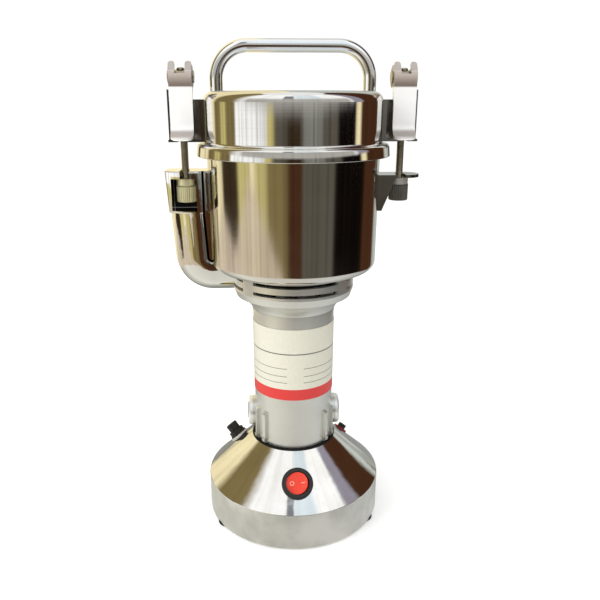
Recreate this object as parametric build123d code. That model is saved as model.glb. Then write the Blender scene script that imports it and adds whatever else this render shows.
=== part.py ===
# Table-top electric grinder: a steel bowl on a motor column with a cone base, and a latched lid.
# Millimetres, +Z up, origin on the table under the column's axis, front of the machine towards -Y.
from build123d import *
from math import atan2, cos, degrees, radians, sin, sqrt
import os

# Clearances and general fits
RUNNING_FIT = 0.06
SLIDING_FIT = 0.15
SEAT_GAP = 0.1
MOVING_GAP = 0.35

# Cone base
FOOT_HEIGHT = 1.6
FOOT_RADIUS = 8.0
FOOT_OVERHANG = 0.7
FOOT_ANGLES = (-120, -60, 60, 120)
BASE_RADIUS = 64.0
SKIRT_TOP = 27.8
CONE_TOP_RADIUS = 31.0
CONE_TOP = 58.4
BASE_WALL = 1.5
BASE_EDGE_ROUND = 1.2
RIM_FLANGE_WIDTH = 7.0
PLATE_THICKNESS = 1.5
PLATE_SCREW_ANGLES = (0, 90, 180, 270)
PLATE_SCREW_RADIUS = 1.5
SCREW_HEAD_RATIO = 1.8
SCREW_HEAD_HEIGHT = 1.2

# Motor column
COLUMN_TOP = 156.7
COLUMN_TOP_RADIUS = 28.8
COLUMN_FOOT_RADIUS = 27.8
COLUMN_BORE = 25.0
COLUMN_FLANGE_RADIUS = 37.0
COLUMN_FLANGE_THICKNESS = 3.0
FLANGE_SCREW_ANGLES = (45, 135, 225, 315)
COLUMN_GASKET_HEIGHT = 3.0
RIB_ANGLES = (-67, -48, 48, 67)
RIB_WIDTH = 2.6
RIB_PROUD = 2.2
RIB_ROUND = 2.0
RIB_TOP = 84.0
RIB_BOTTOM = 59.5
RIB_SCREW_RADIUS = 1.5
RIB_SCREW_PROUD = 0.8

# Rating label with its stripe
LABEL_HEIGHT = 52.5
LABEL_DROP = 7.0
LABEL_TOP = COLUMN_TOP - LABEL_DROP
LABEL_BOTTOM = LABEL_TOP - LABEL_HEIGHT
LABEL_THICKNESS = 0.3
LABEL_GLUE = 0.05
LABEL_SPREAD = 250

# Brush gear
BRUSH_Z = 76.4
BOSS_RADIUS = 11.0
BOSS_REACH = 33.5
BOSS_BEVEL = 1.2
BRUSH_HOLDER_RADIUS = 6.0
BRUSH_WIDTH = 6.0
BRUSH_HEIGHT = 7.0
BRUSH_LENGTH = 11.0
BRUSH_CAP_LENGTH = 4.0
BRUSH_CAP_PROUD = 0.4
BRUSH_CAP_SLOT = 1.4
SPRING_RADIUS = 2.4
SPRING_WIRE = 0.8

# End bell with the vent slots
BELL_RADIUS = 41.9
BELL_FOOT_RADIUS = 29.2
BELL_BEAD_HEIGHT = 1.8
BELL_NECK_RADIUS = 29.0
BELL_SHOULDER_RISE = 10.5
BELL_SHOULDER = COLUMN_TOP + BELL_BEAD_HEIGHT + BELL_SHOULDER_RISE
BELL_SHOULDER_RADIUS = 40.2
BELL_FLARE_OUT = 0.42
BELL_FLARE_UP = 0.62
BELL_SIDE_RISE = 5.0
BELL_SIDE_START = BELL_SHOULDER + BELL_SIDE_RISE
BELL_SIDE_HEIGHT = 14.0
BELL_WALL = 3.0
BELL_WEB_THICKNESS = 3.0
BELL_HUB_WALL = 3.0
SLOT_ROWS = ((1.8, 4.0), (8.2, 10.6))
POST_ANGLES = (-130.5, -49.5, 49.5, 130.5)
POST_SPREAD = 13
BOWL_SCREW_RADIUS = 1.6

# Rotor
SHAFT_RADIUS = 4.0
SHAFT_BOTTOM = 47.0
BEARING_RADIUS = 11.0
BEARING_HEIGHT = 7.0
BEARING_RACE = 2.2
LOWER_BEARING_Z = 51.0
LOWER_BRACKET_WALL = 3.0
COMMUTATOR_RADIUS = 9.0
COMMUTATOR_HEIGHT = 20.0
COMMUTATOR_BARS = 12
COMMUTATOR_GAP = 0.6
COMMUTATOR_GAP_DEPTH = 1.0
ARMATURE_RADIUS = 16.4
ARMATURE_BOTTOM = 99.0
ARMATURE_HEIGHT = 38.0
ARMATURE_SLOTS = 12
ARMATURE_SLOT_WIDTH = 1.6
ARMATURE_SLOT_DEPTH = 2.0
WINDING_RADIUS = 14.5
WINDING_HEIGHT = 9.0
STATOR_BORE = 17.0
STATOR_COIL_HEIGHT = 8.0
STATOR_COIL_SPREAD = 110
STATOR_COIL_INSET = 1.0
FAN_DROP = 1.5
FAN_BOTTOM = BELL_SIDE_START - FAN_DROP
FAN_HEIGHT = 8.5
FAN_RADIUS = 33.0
FAN_HUB_RADIUS = 8.0
FAN_BLADES = 12
FAN_SHEET = 1.2
SPACER_RADIUS = 7.0
SPACER_HEIGHT = 7.0
BLADE_WIDTH = 17.0
BLADE_THICKNESS = 2.5
UPPER_BLADE_STEP = 10.0
BLADE_TIP_GAP = 10.3
UPPER_BLADE_WIDTH = 14.0
BLADE_TIP_TAPER = 8.0
BLADE_NUT_FLATS = 13.0
BLADE_NUT_HEIGHT = 6.5
SHAFT_IN_NUT = 5.2

# Bowl
BOWL_FLOOR = BELL_SIDE_START + BELL_SIDE_HEIGHT
BOWL_HEIGHT = 77.4
BOWL_TOP = BOWL_FLOOR + BOWL_HEIGHT
BOWL_RADIUS = 57.0
BOWL_TAPER = 0.7
BOWL_FLOOR_RADIUS = BOWL_RADIUS - BOWL_TAPER
BOWL_CORNER = 6.0
BOWL_WALL = 1.5
BOWL_RIM_WIDTH = 4.2
BOWL_RIM_RADIUS = BOWL_RADIUS + BOWL_RIM_WIDTH
BOWL_RIM_THICKNESS = 1.6
SEAL_RADIUS = 9.0
SEAL_FLANGE_RADIUS = 11.0
SEAL_PROUD = 3.0
BLADE_REACH = BOWL_FLOOR_RADIUS - BLADE_TIP_GAP
UPPER_BLADE_REACH = BLADE_REACH - UPPER_BLADE_STEP

# Lid
LIP_OVERLAP = 2.0
LIP_HEIGHT = 7.8
LIP_BOTTOM = BOWL_TOP - LIP_OVERLAP
LIP_TOP = LIP_BOTTOM + LIP_HEIGHT
LIP_FLARE = 0.8
LIP_GAP = 0.2
LIP_SHOULDER_ROUND = 2.2
LID_STEP = 1.0
LID_RADIUS = BOWL_RADIUS + LID_STEP
LID_HEIGHT = 32.1
LID_TOP = LIP_TOP + LID_HEIGHT
LID_WALL = 1.3
LID_EDGE_ROUND = 6.5
LIP_RADIUS = BOWL_RIM_RADIUS + LIP_GAP + LIP_FLARE + LID_WALL
GASKET_WIDTH = 4.0

# Carry handle on the lid
HANDLE_RISE = 31.6
HANDLE_TOP = LID_TOP + HANDLE_RISE
HANDLE_ROD = 8.4
HANDLE_INSET = 8.7
HANDLE_SPAN = 2 * (LID_RADIUS - HANDLE_INSET)
HANDLE_CORNER = 20.0
HANDLE_SCREW_RADIUS = 2.5
HANDLE_SCREW_DEPTH = 12.0
HANDLE_WASHER_RADIUS = 6.0
HANDLE_WASHER_THICKNESS = 1.2

# Latches, one each side
ROD_OFFSET = 8.0
ROD_X = LIP_RADIUS + ROD_OFFSET
ROD_RADIUS = 2.5
ROD_END_INSET = 1.0
PIN_RISE = 8.7
PIN_Z = LID_TOP + PIN_RISE
PIN_BARREL_RADIUS = 4.2
PIN_BARREL_HALF = 4.2
PIN_JOURNAL = 2.4
PIN_HEAD_RADIUS = 3.8
PIN_HEAD_THICKNESS = 0.8
ROD_ABOVE_PIN = 5.6
ROD_DOME = 2.0
EAR_SHEET = 1.5
EAR_EYE_RADIUS = 5.7
EAR_FRONT = 3.2
EAR_BACK = 4.0
LATCH_GAP = 0.2
LEVER_SHEET = 1.5
LEVER_CHEEK = 1.2
LEVER_BAND_RADIUS = 7.25
LEVER_BAND_TOP = 40
LEVER_PRONG = 5.4
LEVER_PRONG_ROUND = 1.9
LEVER_FORK_START = 15
LEVER_FORK_WIDTH = 6.4
LEVER_BAND_END = -20
LEVER_CURVE = 8.0
LEVER_PLATE = 23.5
LEVER_TAB_RADIUS = 9.0
LEVER_TAB_TURN = 65
LEVER_TAB_LENGTH = 3.0
LEVER_TAB_CORNER = 4.5
LID_BRACKET_SHEET = 1.5
LID_BRACKET_ROOT = 1.8
LID_BRACKET_RISE = 1.0
LID_BRACKET_FLANGE = LIP_TOP + LID_BRACKET_RISE
LID_BRACKET_DEPTH = 18.0
LID_BRACKET_INNER_DROP = 13.7
LID_BRACKET_OUTER_DROP = 7.7
LID_BRACKET_INNER_TOP = PIN_Z - LID_BRACKET_INNER_DROP
LID_BRACKET_OUTER_TOP = PIN_Z - LID_BRACKET_OUTER_DROP
LID_BRACKET_INNER_WALL = 1.7
LID_BRACKET_OUTER_FRONT = 4.0
LID_BRACKET_OUTER_BACK = 6.5
ROD_SLOT_WIDTH = 6.0

# Thumb nuts and what they pull against
NUT_RADIUS = 6.5
NUT_DROP = 17.1
NUT_TOP = BOWL_TOP - NUT_DROP
NUT_HEIGHT = 15.3
NUT_COLLAR_HEIGHT = 4.0
NUT_COLLAR_RADIUS = 6.2
NUT_TEETH = 28
NUT_TOOTH_DEPTH = 0.5
BOWL_BRACKET_PLATE = 2.0
BOWL_BRACKET_DEPTH = 20.0
BOWL_BRACKET_HEIGHT = 21.3
BOWL_BRACKET_BOTTOM = NUT_TOP - BOWL_BRACKET_HEIGHT
GUSSET_SHEET = 1.6
GUSSET_REACH = 10.4
BRACKET_SCREW_RADIUS = 1.6
BRACKET_SCREW_DROPS = (4.3, 16.3)

# Chrome side arm
ARM_DEPTH = 21.0
ARM_TOP_PLATE = 5.2
ARM_WINDOW_ROOM = 5.3
ARM_WINDOW_BOTTOM = NUT_TOP - NUT_HEIGHT - ARM_WINDOW_ROOM
ARM_OUTER_WALL = 4.0
ARM_OUTER_GAP = 2.8
ARM_INNER_GAP = 1.0
ARM_REACH = ROD_X + NUT_RADIUS + ARM_OUTER_GAP + ARM_OUTER_WALL
ARM_INNER_WALL = ROD_X - NUT_RADIUS - ARM_INNER_GAP - BOWL_RADIUS
ARM_WINDOW_BACK = 2.5
ARM_LEAN = 4.8
ARM_CORNER_X = ARM_REACH - ARM_LEAN
ARM_SOLE_DROP = 17.5
ARM_SOLE_Z = BOWL_FLOOR - ARM_SOLE_DROP
ARM_ELBOW_RADIUS = 26.0
ARM_EDGE_ROUND = 9.5
ARM_HEAD_ROUND = 1.0
ARM_HEAD_LIP = 1.6

# Switch, fuse holder, reset button and cord gland on the cone
SWITCH_SEAT_SHARE = 0.512
SWITCH_BEZEL_RADIUS = 11.0
SWITCH_BEZEL_PROUD = 2.2
SWITCH_BODY_RADIUS = 9.5
SWITCH_BODY_DEPTH = 13.0
SWITCH_WELL_RADIUS = 8.1
SWITCH_WELL_DEPTH = 9.0
ROCKER_RADIUS = 7.7
ROCKER_TILT = 11.0
ROCKER_FACE_ANGLE = 9.0
ROCKER_FACE_HEIGHT = 2.0
ROCKER_DEPTH = 3.0
ROCKER_PIVOT_DROP = 0.6
ROCKER_PIVOT_RADIUS = 1.2
FUSE_ANGLE = -116
FUSE_SEAT_SHARE = 0.47
FUSE_BODY_RADIUS = 5.6
FUSE_BODY_DEPTH = 10.5
FUSE_FLANGE_RADIUS = 6.65
FUSE_FLANGE_HEIGHT = 1.2
FUSE_WASHER_RADIUS = 7.2
FUSE_WASHER_HEIGHT = 0.8
FUSE_NECK_RADIUS = 6.0
FUSE_NECK_HEIGHT = 3.0
FUSE_BORE = 4.2
FUSE_FLOOR = 1.0
FUSE_TUBE_RADIUS = 2.6
FUSE_TUBE_LENGTH = 12.8
FUSE_CAP_RADIUS = 4.5
FUSE_CAP_HEIGHT = 5.8
FUSE_CAP_PIN = 2.0
FUSE_CAP_FLUTES = 14
FUSE_FLUTE_RADIUS = 0.5
PANEL_NUT_WIDTH = 2.2
PANEL_NUT_HEIGHT = 3.0
RESET_ANGLE = 121
RESET_SEAT_SHARE = 0.44
RESET_BODY_RADIUS = 4.7
RESET_FLOOR = 1.0
RESET_COLLAR_RADIUS = 5.5
RESET_COLLAR_HEIGHT = 1.2
RESET_BUTTON_RADIUS = 3.2
RESET_BUTTON_PROUD = 4.6
RESET_BUTTON_FLANGE = 1.0
RESET_TRAVEL = 2.0
RESET_SPRING_ROOM = 2.5
GLAND_SEAT_SHARE = 0.636
GLAND_RADIUS = 6.5
GLAND_BORE = 3.6
GLAND_PROUD = 3.0
GLAND_DEPTH = 6.0

MID_MIN = (Align.CENTER, Align.CENTER, Align.MIN)
PARTS = {}


def disc(radius, bottom, top):
    """Solid round bar on the Z axis between two heights."""
    return Pos(0, 0, bottom) * Cylinder(radius, top - bottom, align=MID_MIN)


def ring(outer, inner, bottom, top):
    """Tube on the Z axis between two heights."""
    return disc(outer, bottom, top) - disc(inner, bottom, top)


def spun(*points):
    """Solid turned about Z from an outline of (radius, height) points."""
    outline = Polyline(*[(r, 0, z) for r, z in points], close=True)
    return revolve(make_face(outline), Axis.Z)


def block(x0, x1, y0, y1, z0, z1):
    """Box between two corners."""
    centre = Pos((x0 + x1) / 2, (y0 + y1) / 2, (z0 + z1) / 2)
    return centre * Box(x1 - x0, y1 - y0, z1 - z0)


def around(angle, radius, z=0):
    """Point at an angle from the front, positive towards the right."""
    return Pos(radius * sin(radians(angle)), -radius * cos(radians(angle)), z)


def turned(angle):
    """Turn about Z that carries the front to an angle."""
    return Rot(0, 0, angle)


def round_circle(solid, radius, z, amount):
    """Round the circular edges of one radius that lie at one height."""
    edges = [e for e in solid.edges().filter_by(GeomType.CIRCLE)
             if abs(e.radius - radius) < 1e-3 and abs(e.arc_center.Z - z) < 1e-3]
    return fillet(edges, amount)


def group(solids):
    """Separate solids that share one node."""
    return Compound(children=list(solids))


def screw(radius, head_under, tip):
    """Pan-head screw on Z with its head below a face, shank upwards."""
    head = disc(radius * SCREW_HEAD_RATIO, head_under - SCREW_HEAD_HEIGHT, head_under)
    return head + disc(radius, head_under, tip)


def mirrored(shape):
    """Same piece on the left side."""
    return mirror(shape, about=Plane.YZ)


# Envelopes that neighbours are cut to
RIM_Z = FOOT_HEIGHT
PLATE_TOP = RIM_Z + PLATE_THICKNESS
BASE_ENVELOPE = spun((0, RIM_Z), (BASE_RADIUS, RIM_Z), (BASE_RADIUS, SKIRT_TOP),
                     (CONE_TOP_RADIUS, CONE_TOP), (0, CONE_TOP))
CONE_ANGLE = atan2(CONE_TOP - SKIRT_TOP, BASE_RADIUS - CONE_TOP_RADIUS)
CONE_WALL_RUN = BASE_WALL / sin(CONE_ANGLE)
SKIRT_INNER = BASE_RADIUS - BASE_WALL
SKIRT_INNER_TOP = SKIRT_TOP - (CONE_WALL_RUN - BASE_WALL) * (CONE_TOP - SKIRT_TOP) / (
    BASE_RADIUS - CONE_TOP_RADIUS)
CONE_INNER_TOP = CONE_TOP_RADIUS - CONE_WALL_RUN
BASE_INSIDE = spun((0, PLATE_TOP), (SKIRT_INNER, PLATE_TOP), (SKIRT_INNER, SKIRT_INNER_TOP),
                   (CONE_INNER_TOP, CONE_TOP), (0, CONE_TOP))


def cone_seat(angle, share):
    """Plane on the cone's face a share of the way down, looking outwards, with local X level to the right."""
    radius = CONE_TOP_RADIUS + share * (BASE_RADIUS - CONE_TOP_RADIUS)
    height = CONE_TOP - share * (CONE_TOP - SKIRT_TOP)
    a = radians(angle)
    normal = (sin(a) * sin(CONE_ANGLE), -cos(a) * sin(CONE_ANGLE), cos(CONE_ANGLE))
    origin = (radius * sin(a), -radius * cos(a), height)
    return Plane(origin=origin, x_dir=(cos(a), sin(a), 0), z_dir=normal)


RESET_FLANGE_TOP = -RESET_COLLAR_HEIGHT - SEAT_GAP
RESET_WELL = RESET_FLANGE_TOP - RESET_BUTTON_FLANGE - RESET_TRAVEL - RESET_SPRING_ROOM
RESET_BODY_DEPTH = RESET_FLOOR - RESET_WELL
SWITCH_SEAT = cone_seat(0, SWITCH_SEAT_SHARE)
FUSE_SEAT = cone_seat(FUSE_ANGLE, FUSE_SEAT_SHARE)
RESET_SEAT = cone_seat(RESET_ANGLE, RESET_SEAT_SHARE)
GLAND_SEAT = cone_seat(180, GLAND_SEAT_SHARE)


def column_radius(z):
    """Outer radius of the tapered column at a height."""
    share = (z - PLATE_TOP) / (COLUMN_TOP - PLATE_TOP)
    return COLUMN_FOOT_RADIUS + share * (COLUMN_TOP_RADIUS - COLUMN_FOOT_RADIUS)


def bowl_form(inset):
    """Closed form of the bowl, set in from its outer face."""
    floor_z = BOWL_FLOOR + inset
    body = spun((0, floor_z), (BOWL_FLOOR_RADIUS - inset, floor_z),
                (BOWL_RADIUS - inset, BOWL_TOP), (0, BOWL_TOP))
    return round_circle(body, BOWL_FLOOR_RADIUS - inset, floor_z, BOWL_CORNER - inset)


def lid_form(inset):
    """Closed form of the lid's drum, set in from its outer face."""
    top = LID_TOP - inset
    body = disc(LID_RADIUS - inset, LIP_BOTTOM, top)
    return round_circle(body, LID_RADIUS - inset, top, LID_EDGE_ROUND - inset)


BOWL_FORM = bowl_form(0)
LID_FORM = lid_form(0)


def make_base():
    """Spun steel base shell, its plate, feet and screws."""
    flange_inner = SKIRT_INNER - RIM_FLANGE_WIDTH
    screw_pcr = SKIRT_INNER - RIM_FLANGE_WIDTH / 2
    flange_top = PLATE_TOP + BASE_WALL
    outside = round_circle(BASE_ENVELOPE, BASE_RADIUS, SKIRT_TOP, BASE_EDGE_ROUND)
    shell = outside - BASE_INSIDE - disc(SKIRT_INNER, RIM_Z, PLATE_TOP)
    shell += ring(SKIRT_INNER, flange_inner, PLATE_TOP, flange_top)
    shell -= SWITCH_SEAT * Pos(0, 0, -SWITCH_BODY_DEPTH) * Cylinder(
        SWITCH_BODY_RADIUS + SEAT_GAP, SWITCH_BODY_DEPTH * 2, align=MID_MIN)
    shell -= FUSE_SEAT * Cylinder(FUSE_BODY_RADIUS + SEAT_GAP, FUSE_BODY_DEPTH * 2)
    shell -= RESET_SEAT * Cylinder(RESET_BODY_RADIUS + SEAT_GAP, RESET_BODY_DEPTH * 2)
    shell -= GLAND_SEAT * Cylinder(GLAND_RADIUS - PANEL_NUT_WIDTH + SEAT_GAP, GLAND_DEPTH * 2)

    plate = disc(SKIRT_INNER - SEAT_GAP, RIM_Z, PLATE_TOP)
    flange_pcr = (COLUMN_FLANGE_RADIUS + column_radius(PLATE_TOP)) / 2
    screws = []
    for angle in PLATE_SCREW_ANGLES:
        place = around(angle, screw_pcr)
        hole = place * disc(PLATE_SCREW_RADIUS, RIM_Z, flange_top)
        plate -= hole
        shell -= hole
        screws.append(place * screw(PLATE_SCREW_RADIUS, RIM_Z, flange_top))
    for angle in FLANGE_SCREW_ANGLES:
        place = around(angle, flange_pcr)
        plate -= place * disc(PLATE_SCREW_RADIUS, RIM_Z, PLATE_TOP)
        screws.append(place * screw(PLATE_SCREW_RADIUS, RIM_Z, PLATE_TOP + COLUMN_FLANGE_THICKNESS))
    foot_pcr = BASE_RADIUS + FOOT_OVERHANG - FOOT_RADIUS
    foot = chamfer(disc(FOOT_RADIUS, 0, FOOT_HEIGHT).edges().group_by(Axis.Z)[0], FOOT_HEIGHT / 4)
    PARTS["base_shell"] = shell
    PARTS["base_plate"] = plate
    PARTS["base_screws"] = group(screws)
    PARTS["rubber_feet"] = group(around(a, foot_pcr) * foot for a in FOOT_ANGLES)
    return flange_pcr


def make_column(flange_pcr):
    """Cast motor column with its flange, brush bosses and ribs, and what is fixed on it."""
    body = spun((0, PLATE_TOP), (COLUMN_FLANGE_RADIUS, PLATE_TOP),
                (COLUMN_FLANGE_RADIUS, PLATE_TOP + COLUMN_FLANGE_THICKNESS),
                (column_radius(PLATE_TOP + COLUMN_FLANGE_THICKNESS), PLATE_TOP + COLUMN_FLANGE_THICKNESS),
                (COLUMN_TOP_RADIUS, COLUMN_TOP), (0, COLUMN_TOP))
    boss = Pos(0, 0, BRUSH_Z) * Rot(0, 90, 0) * Cylinder(BOSS_RADIUS, BOSS_REACH * 2)
    boss = chamfer(boss.edges().filter_by(GeomType.CIRCLE), BOSS_BEVEL)
    body += boss
    rib_core = column_radius(RIB_BOTTOM)
    screws = []
    for angle in RIB_ANGLES:
        reach = column_radius(RIB_TOP) + RIB_PROUD
        rib = block(-RIB_WIDTH / 2, RIB_WIDTH / 2, -reach, -rib_core / 2, RIB_BOTTOM, RIB_TOP)
        rib = fillet(rib.edges().filter_by(Axis.X).group_by(Axis.Y)[0], RIB_ROUND)
        body += turned(angle) * rib
        place = turned(angle) * Pos(0, -column_radius(RIB_BOTTOM), RIB_BOTTOM + 2 * RIB_SCREW_RADIUS)
        stud = place * Rot(90, 0, 0) * Cylinder(RIB_SCREW_RADIUS, RIB_PROUD + RIB_SCREW_PROUD, align=MID_MIN)
        body -= stud
        screws.append(stud)
    body -= disc(COLUMN_BORE, PLATE_TOP, COLUMN_TOP)
    body -= Pos(0, 0, BRUSH_Z) * Rot(0, 90, 0) * Cylinder(BRUSH_HOLDER_RADIUS, BOSS_REACH * 2)
    for angle in FLANGE_SCREW_ANGLES:
        body -= around(angle, flange_pcr) * disc(PLATE_SCREW_RADIUS, PLATE_TOP,
                                                PLATE_TOP + COLUMN_FLANGE_THICKNESS)
    PARTS["motor_column"] = body
    PARTS["rib_screws"] = group(screws)

    gasket_bottom = CONE_TOP - COLUMN_GASKET_HEIGHT
    gasket = disc(CONE_TOP_RADIUS, gasket_bottom, CONE_TOP) & BASE_INSIDE
    gasket -= spun((0, gasket_bottom), (column_radius(gasket_bottom), gasket_bottom),
                   (column_radius(CONE_TOP), CONE_TOP), (0, CONE_TOP))
    PARTS["column_gasket"] = gasket

    low = column_radius(LABEL_BOTTOM) + LABEL_GLUE
    high = column_radius(LABEL_TOP) + LABEL_GLUE
    label = make_face(Polyline((low, 0, LABEL_BOTTOM), (low + LABEL_THICKNESS, 0, LABEL_BOTTOM),
                               (high + LABEL_THICKNESS, 0, LABEL_TOP), (high, 0, LABEL_TOP), close=True))
    PARTS["rating_label"] = turned(-90 - LABEL_SPREAD / 2) * revolve(label, Axis.Z, LABEL_SPREAD)


def make_brush_gear():
    """Insulated holder, carbon brush, spring and screw cap on each side of the commutator."""
    start = COMMUTATOR_RADIUS + MOVING_GAP
    brush_end = start + BRUSH_LENGTH
    cap_start = BOSS_REACH + BRUSH_CAP_PROUD - BRUSH_CAP_LENGTH
    holder_start = start + BRUSH_LENGTH / 4
    axis = Pos(0, 0, BRUSH_Z) * Rot(0, 90, 0)
    slot = Box(BRUSH_HEIGHT + 2 * SLIDING_FIT, BRUSH_WIDTH + 2 * SLIDING_FIT, BOSS_REACH, align=MID_MIN)
    holder = disc(BRUSH_HOLDER_RADIUS, holder_start, cap_start) - slot
    brush = Pos(0, 0, start) * Box(BRUSH_HEIGHT, BRUSH_WIDTH, BRUSH_LENGTH, align=MID_MIN)
    spring = ring(SPRING_RADIUS, SPRING_RADIUS - SPRING_WIRE, brush_end, cap_start)
    cap = disc(BRUSH_HOLDER_RADIUS, cap_start, BOSS_REACH + BRUSH_CAP_PROUD)
    cap -= block(-BRUSH_HOLDER_RADIUS, BRUSH_HOLDER_RADIUS, -BRUSH_CAP_SLOT / 2, BRUSH_CAP_SLOT / 2,
                 BOSS_REACH + BRUSH_CAP_PROUD - BRUSH_CAP_SLOT, BOSS_REACH + BRUSH_CAP_PROUD)
    pieces = {"brush_holders": holder, "carbon_brushes": brush, "brush_springs": spring, "brush_caps": cap}
    for name, piece in pieces.items():
        right = axis * piece
        PARTS[name] = group((right, mirrored(right)))


def bell_profile(inset):
    """Outline of the end bell from its foot to the bowl, set in from the outer face."""
    neck_z = COLUMN_TOP + BELL_BEAD_HEIGHT
    neck = (BELL_NECK_RADIUS - inset, 0, neck_z)
    shoulder = (BELL_SHOULDER_RADIUS - inset, 0, BELL_SHOULDER)
    side = (BELL_RADIUS - inset, 0, BELL_SIDE_START)
    flare = (neck[0] + (shoulder[0] - neck[0]) * BELL_FLARE_OUT, 0,
             neck_z + (BELL_SHOULDER - neck_z) * BELL_FLARE_UP)
    lines = [ThreePointArc(neck, flare, shoulder), Line(shoulder, side),
             Line(side, (side[0], 0, BOWL_FLOOR)), Line((side[0], 0, BOWL_FLOOR), (0, 0, BOWL_FLOOR)),
             Line((0, 0, BOWL_FLOOR), (0, 0, neck_z)), Line((0, 0, neck_z), neck)]
    return revolve(make_face(lines), Axis.Z)


UPPER_BEARING_Z = COLUMN_TOP + BELL_BEAD_HEIGHT


def make_bell():
    """Cast end bell with two rows of vent slots, its bearing web and the bowl's screws."""
    web_top = UPPER_BEARING_Z + BELL_WEB_THICKNESS
    hub_top = UPPER_BEARING_Z + BEARING_HEIGHT
    body = bell_profile(0) + disc(BELL_FOOT_RADIUS, COLUMN_TOP, UPPER_BEARING_Z)
    hollow = bell_profile(BELL_WALL) & disc(BELL_RADIUS, web_top, BOWL_FLOOR)
    body -= hollow
    body += ring(BEARING_RADIUS + BELL_HUB_WALL, BEARING_RADIUS, web_top, hub_top)
    body -= disc(BEARING_RADIUS, UPPER_BEARING_Z, hub_top)
    body -= disc(BEARING_RADIUS - BEARING_RACE, COLUMN_TOP, UPPER_BEARING_Z)
    cut_reach = BELL_RADIUS + BELL_WALL
    rows = [(BELL_SIDE_START + low, BELL_SIDE_START + high) for low, high in SLOT_ROWS]
    slot_ring = [ring(cut_reach, BELL_RADIUS - 2 * BELL_WALL, z0, z1) for z0, z1 in rows]
    half = cut_reach * sin(radians(POST_SPREAD / 2))
    for middle in POST_ANGLES:
        post = turned(middle) * block(-half, half, -cut_reach, 0, COLUMN_TOP, BOWL_FLOOR)
        slot_ring = [piece - post for piece in slot_ring]
    for piece in slot_ring:
        body -= piece
    screws = []
    pcr = BELL_RADIUS - 1.5 * BELL_WALL
    floor_top = BOWL_FLOOR + BOWL_WALL
    for middle in POST_ANGLES:
        lug = around(middle, pcr) * disc(BELL_WALL, BELL_SIDE_START, BOWL_FLOOR)
        body += lug & bell_profile(0)
        hole = around(middle, pcr) * disc(BOWL_SCREW_RADIUS, BELL_SIDE_START + BELL_WALL, floor_top)
        body -= hole
        head = around(middle, pcr) * disc(BOWL_SCREW_RADIUS * SCREW_HEAD_RATIO, floor_top,
                                         floor_top + SCREW_HEAD_HEIGHT)
        screws.append(hole + head)
    PARTS["end_bell"] = body
    PARTS["bowl_screws"] = group(screws)
    return pcr


def bearing(bottom):
    """Ball bearing as inner race, outer race and shield joined as one closed ring."""
    body = ring(BEARING_RADIUS, SHAFT_RADIUS, bottom, bottom + BEARING_HEIGHT)
    mid_out = BEARING_RADIUS - BEARING_RACE
    mid_in = SHAFT_RADIUS + BEARING_RACE
    shield = BEARING_RACE / 5
    body -= ring(mid_out, mid_in, bottom, bottom + shield)
    return body - ring(mid_out, mid_in, bottom + BEARING_HEIGHT - shield, bottom + BEARING_HEIGHT)


def make_motor():
    """Stator, field coils, bearings and their lower bracket, fixed in the column."""
    core_top = ARMATURE_BOTTOM + ARMATURE_HEIGHT
    core = ring(COLUMN_BORE, STATOR_BORE, ARMATURE_BOTTOM, core_top)
    PARTS["stator_core"] = core
    coils = []
    inner = STATOR_BORE + STATOR_COIL_INSET
    outer = COLUMN_BORE - STATOR_COIL_INSET
    coil_ring = make_face(Polyline((inner, 0, 0), (outer, 0, 0), (outer, 0, STATOR_COIL_HEIGHT),
                                   (inner, 0, STATOR_COIL_HEIGHT), close=True))
    coil = revolve(coil_ring, Axis.Z, STATOR_COIL_SPREAD)
    for bottom in (ARMATURE_BOTTOM - STATOR_COIL_HEIGHT, core_top):
        for start in (-90, 90):
            coils.append(Pos(0, 0, bottom) * turned(start - STATOR_COIL_SPREAD / 2) * coil)
    PARTS["field_coils"] = group(coils)

    hub = BEARING_RADIUS + LOWER_BRACKET_WALL
    bracket_bottom = LOWER_BEARING_Z - LOWER_BRACKET_WALL
    bracket = disc(COLUMN_BORE, bracket_bottom, LOWER_BEARING_Z)
    bracket += disc(hub, LOWER_BEARING_Z, LOWER_BEARING_Z + BEARING_HEIGHT)
    bracket -= disc(BEARING_RADIUS, LOWER_BEARING_Z, LOWER_BEARING_Z + BEARING_HEIGHT)
    bracket -= disc(BEARING_RADIUS - BEARING_RACE, bracket_bottom, LOWER_BEARING_Z)
    wire_pcr = (hub + COLUMN_BORE) / 2
    wire_hole = (COLUMN_BORE - hub) / 3
    for angle in FLANGE_SCREW_ANGLES:
        bracket -= around(angle, wire_pcr) * disc(wire_hole, bracket_bottom, LOWER_BEARING_Z)
    PARTS["lower_bearing_bracket"] = bracket
    clearance_bore = disc(SHAFT_RADIUS + RUNNING_FIT, SHAFT_BOTTOM, BOWL_TOP)
    PARTS["lower_bearing"] = bearing(LOWER_BEARING_Z) - clearance_bore
    PARTS["upper_bearing"] = bearing(UPPER_BEARING_Z) - clearance_bore


def blade(reach, width):
    """Two-armed flat blade with ends cut on a slant."""
    tip = reach - BLADE_TIP_TAPER
    side = width / 2
    outline = Polyline((-tip, -side), (reach, -side), (tip, side), (-reach, side), close=True)
    return extrude(make_face(outline), BLADE_THICKNESS)


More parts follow.
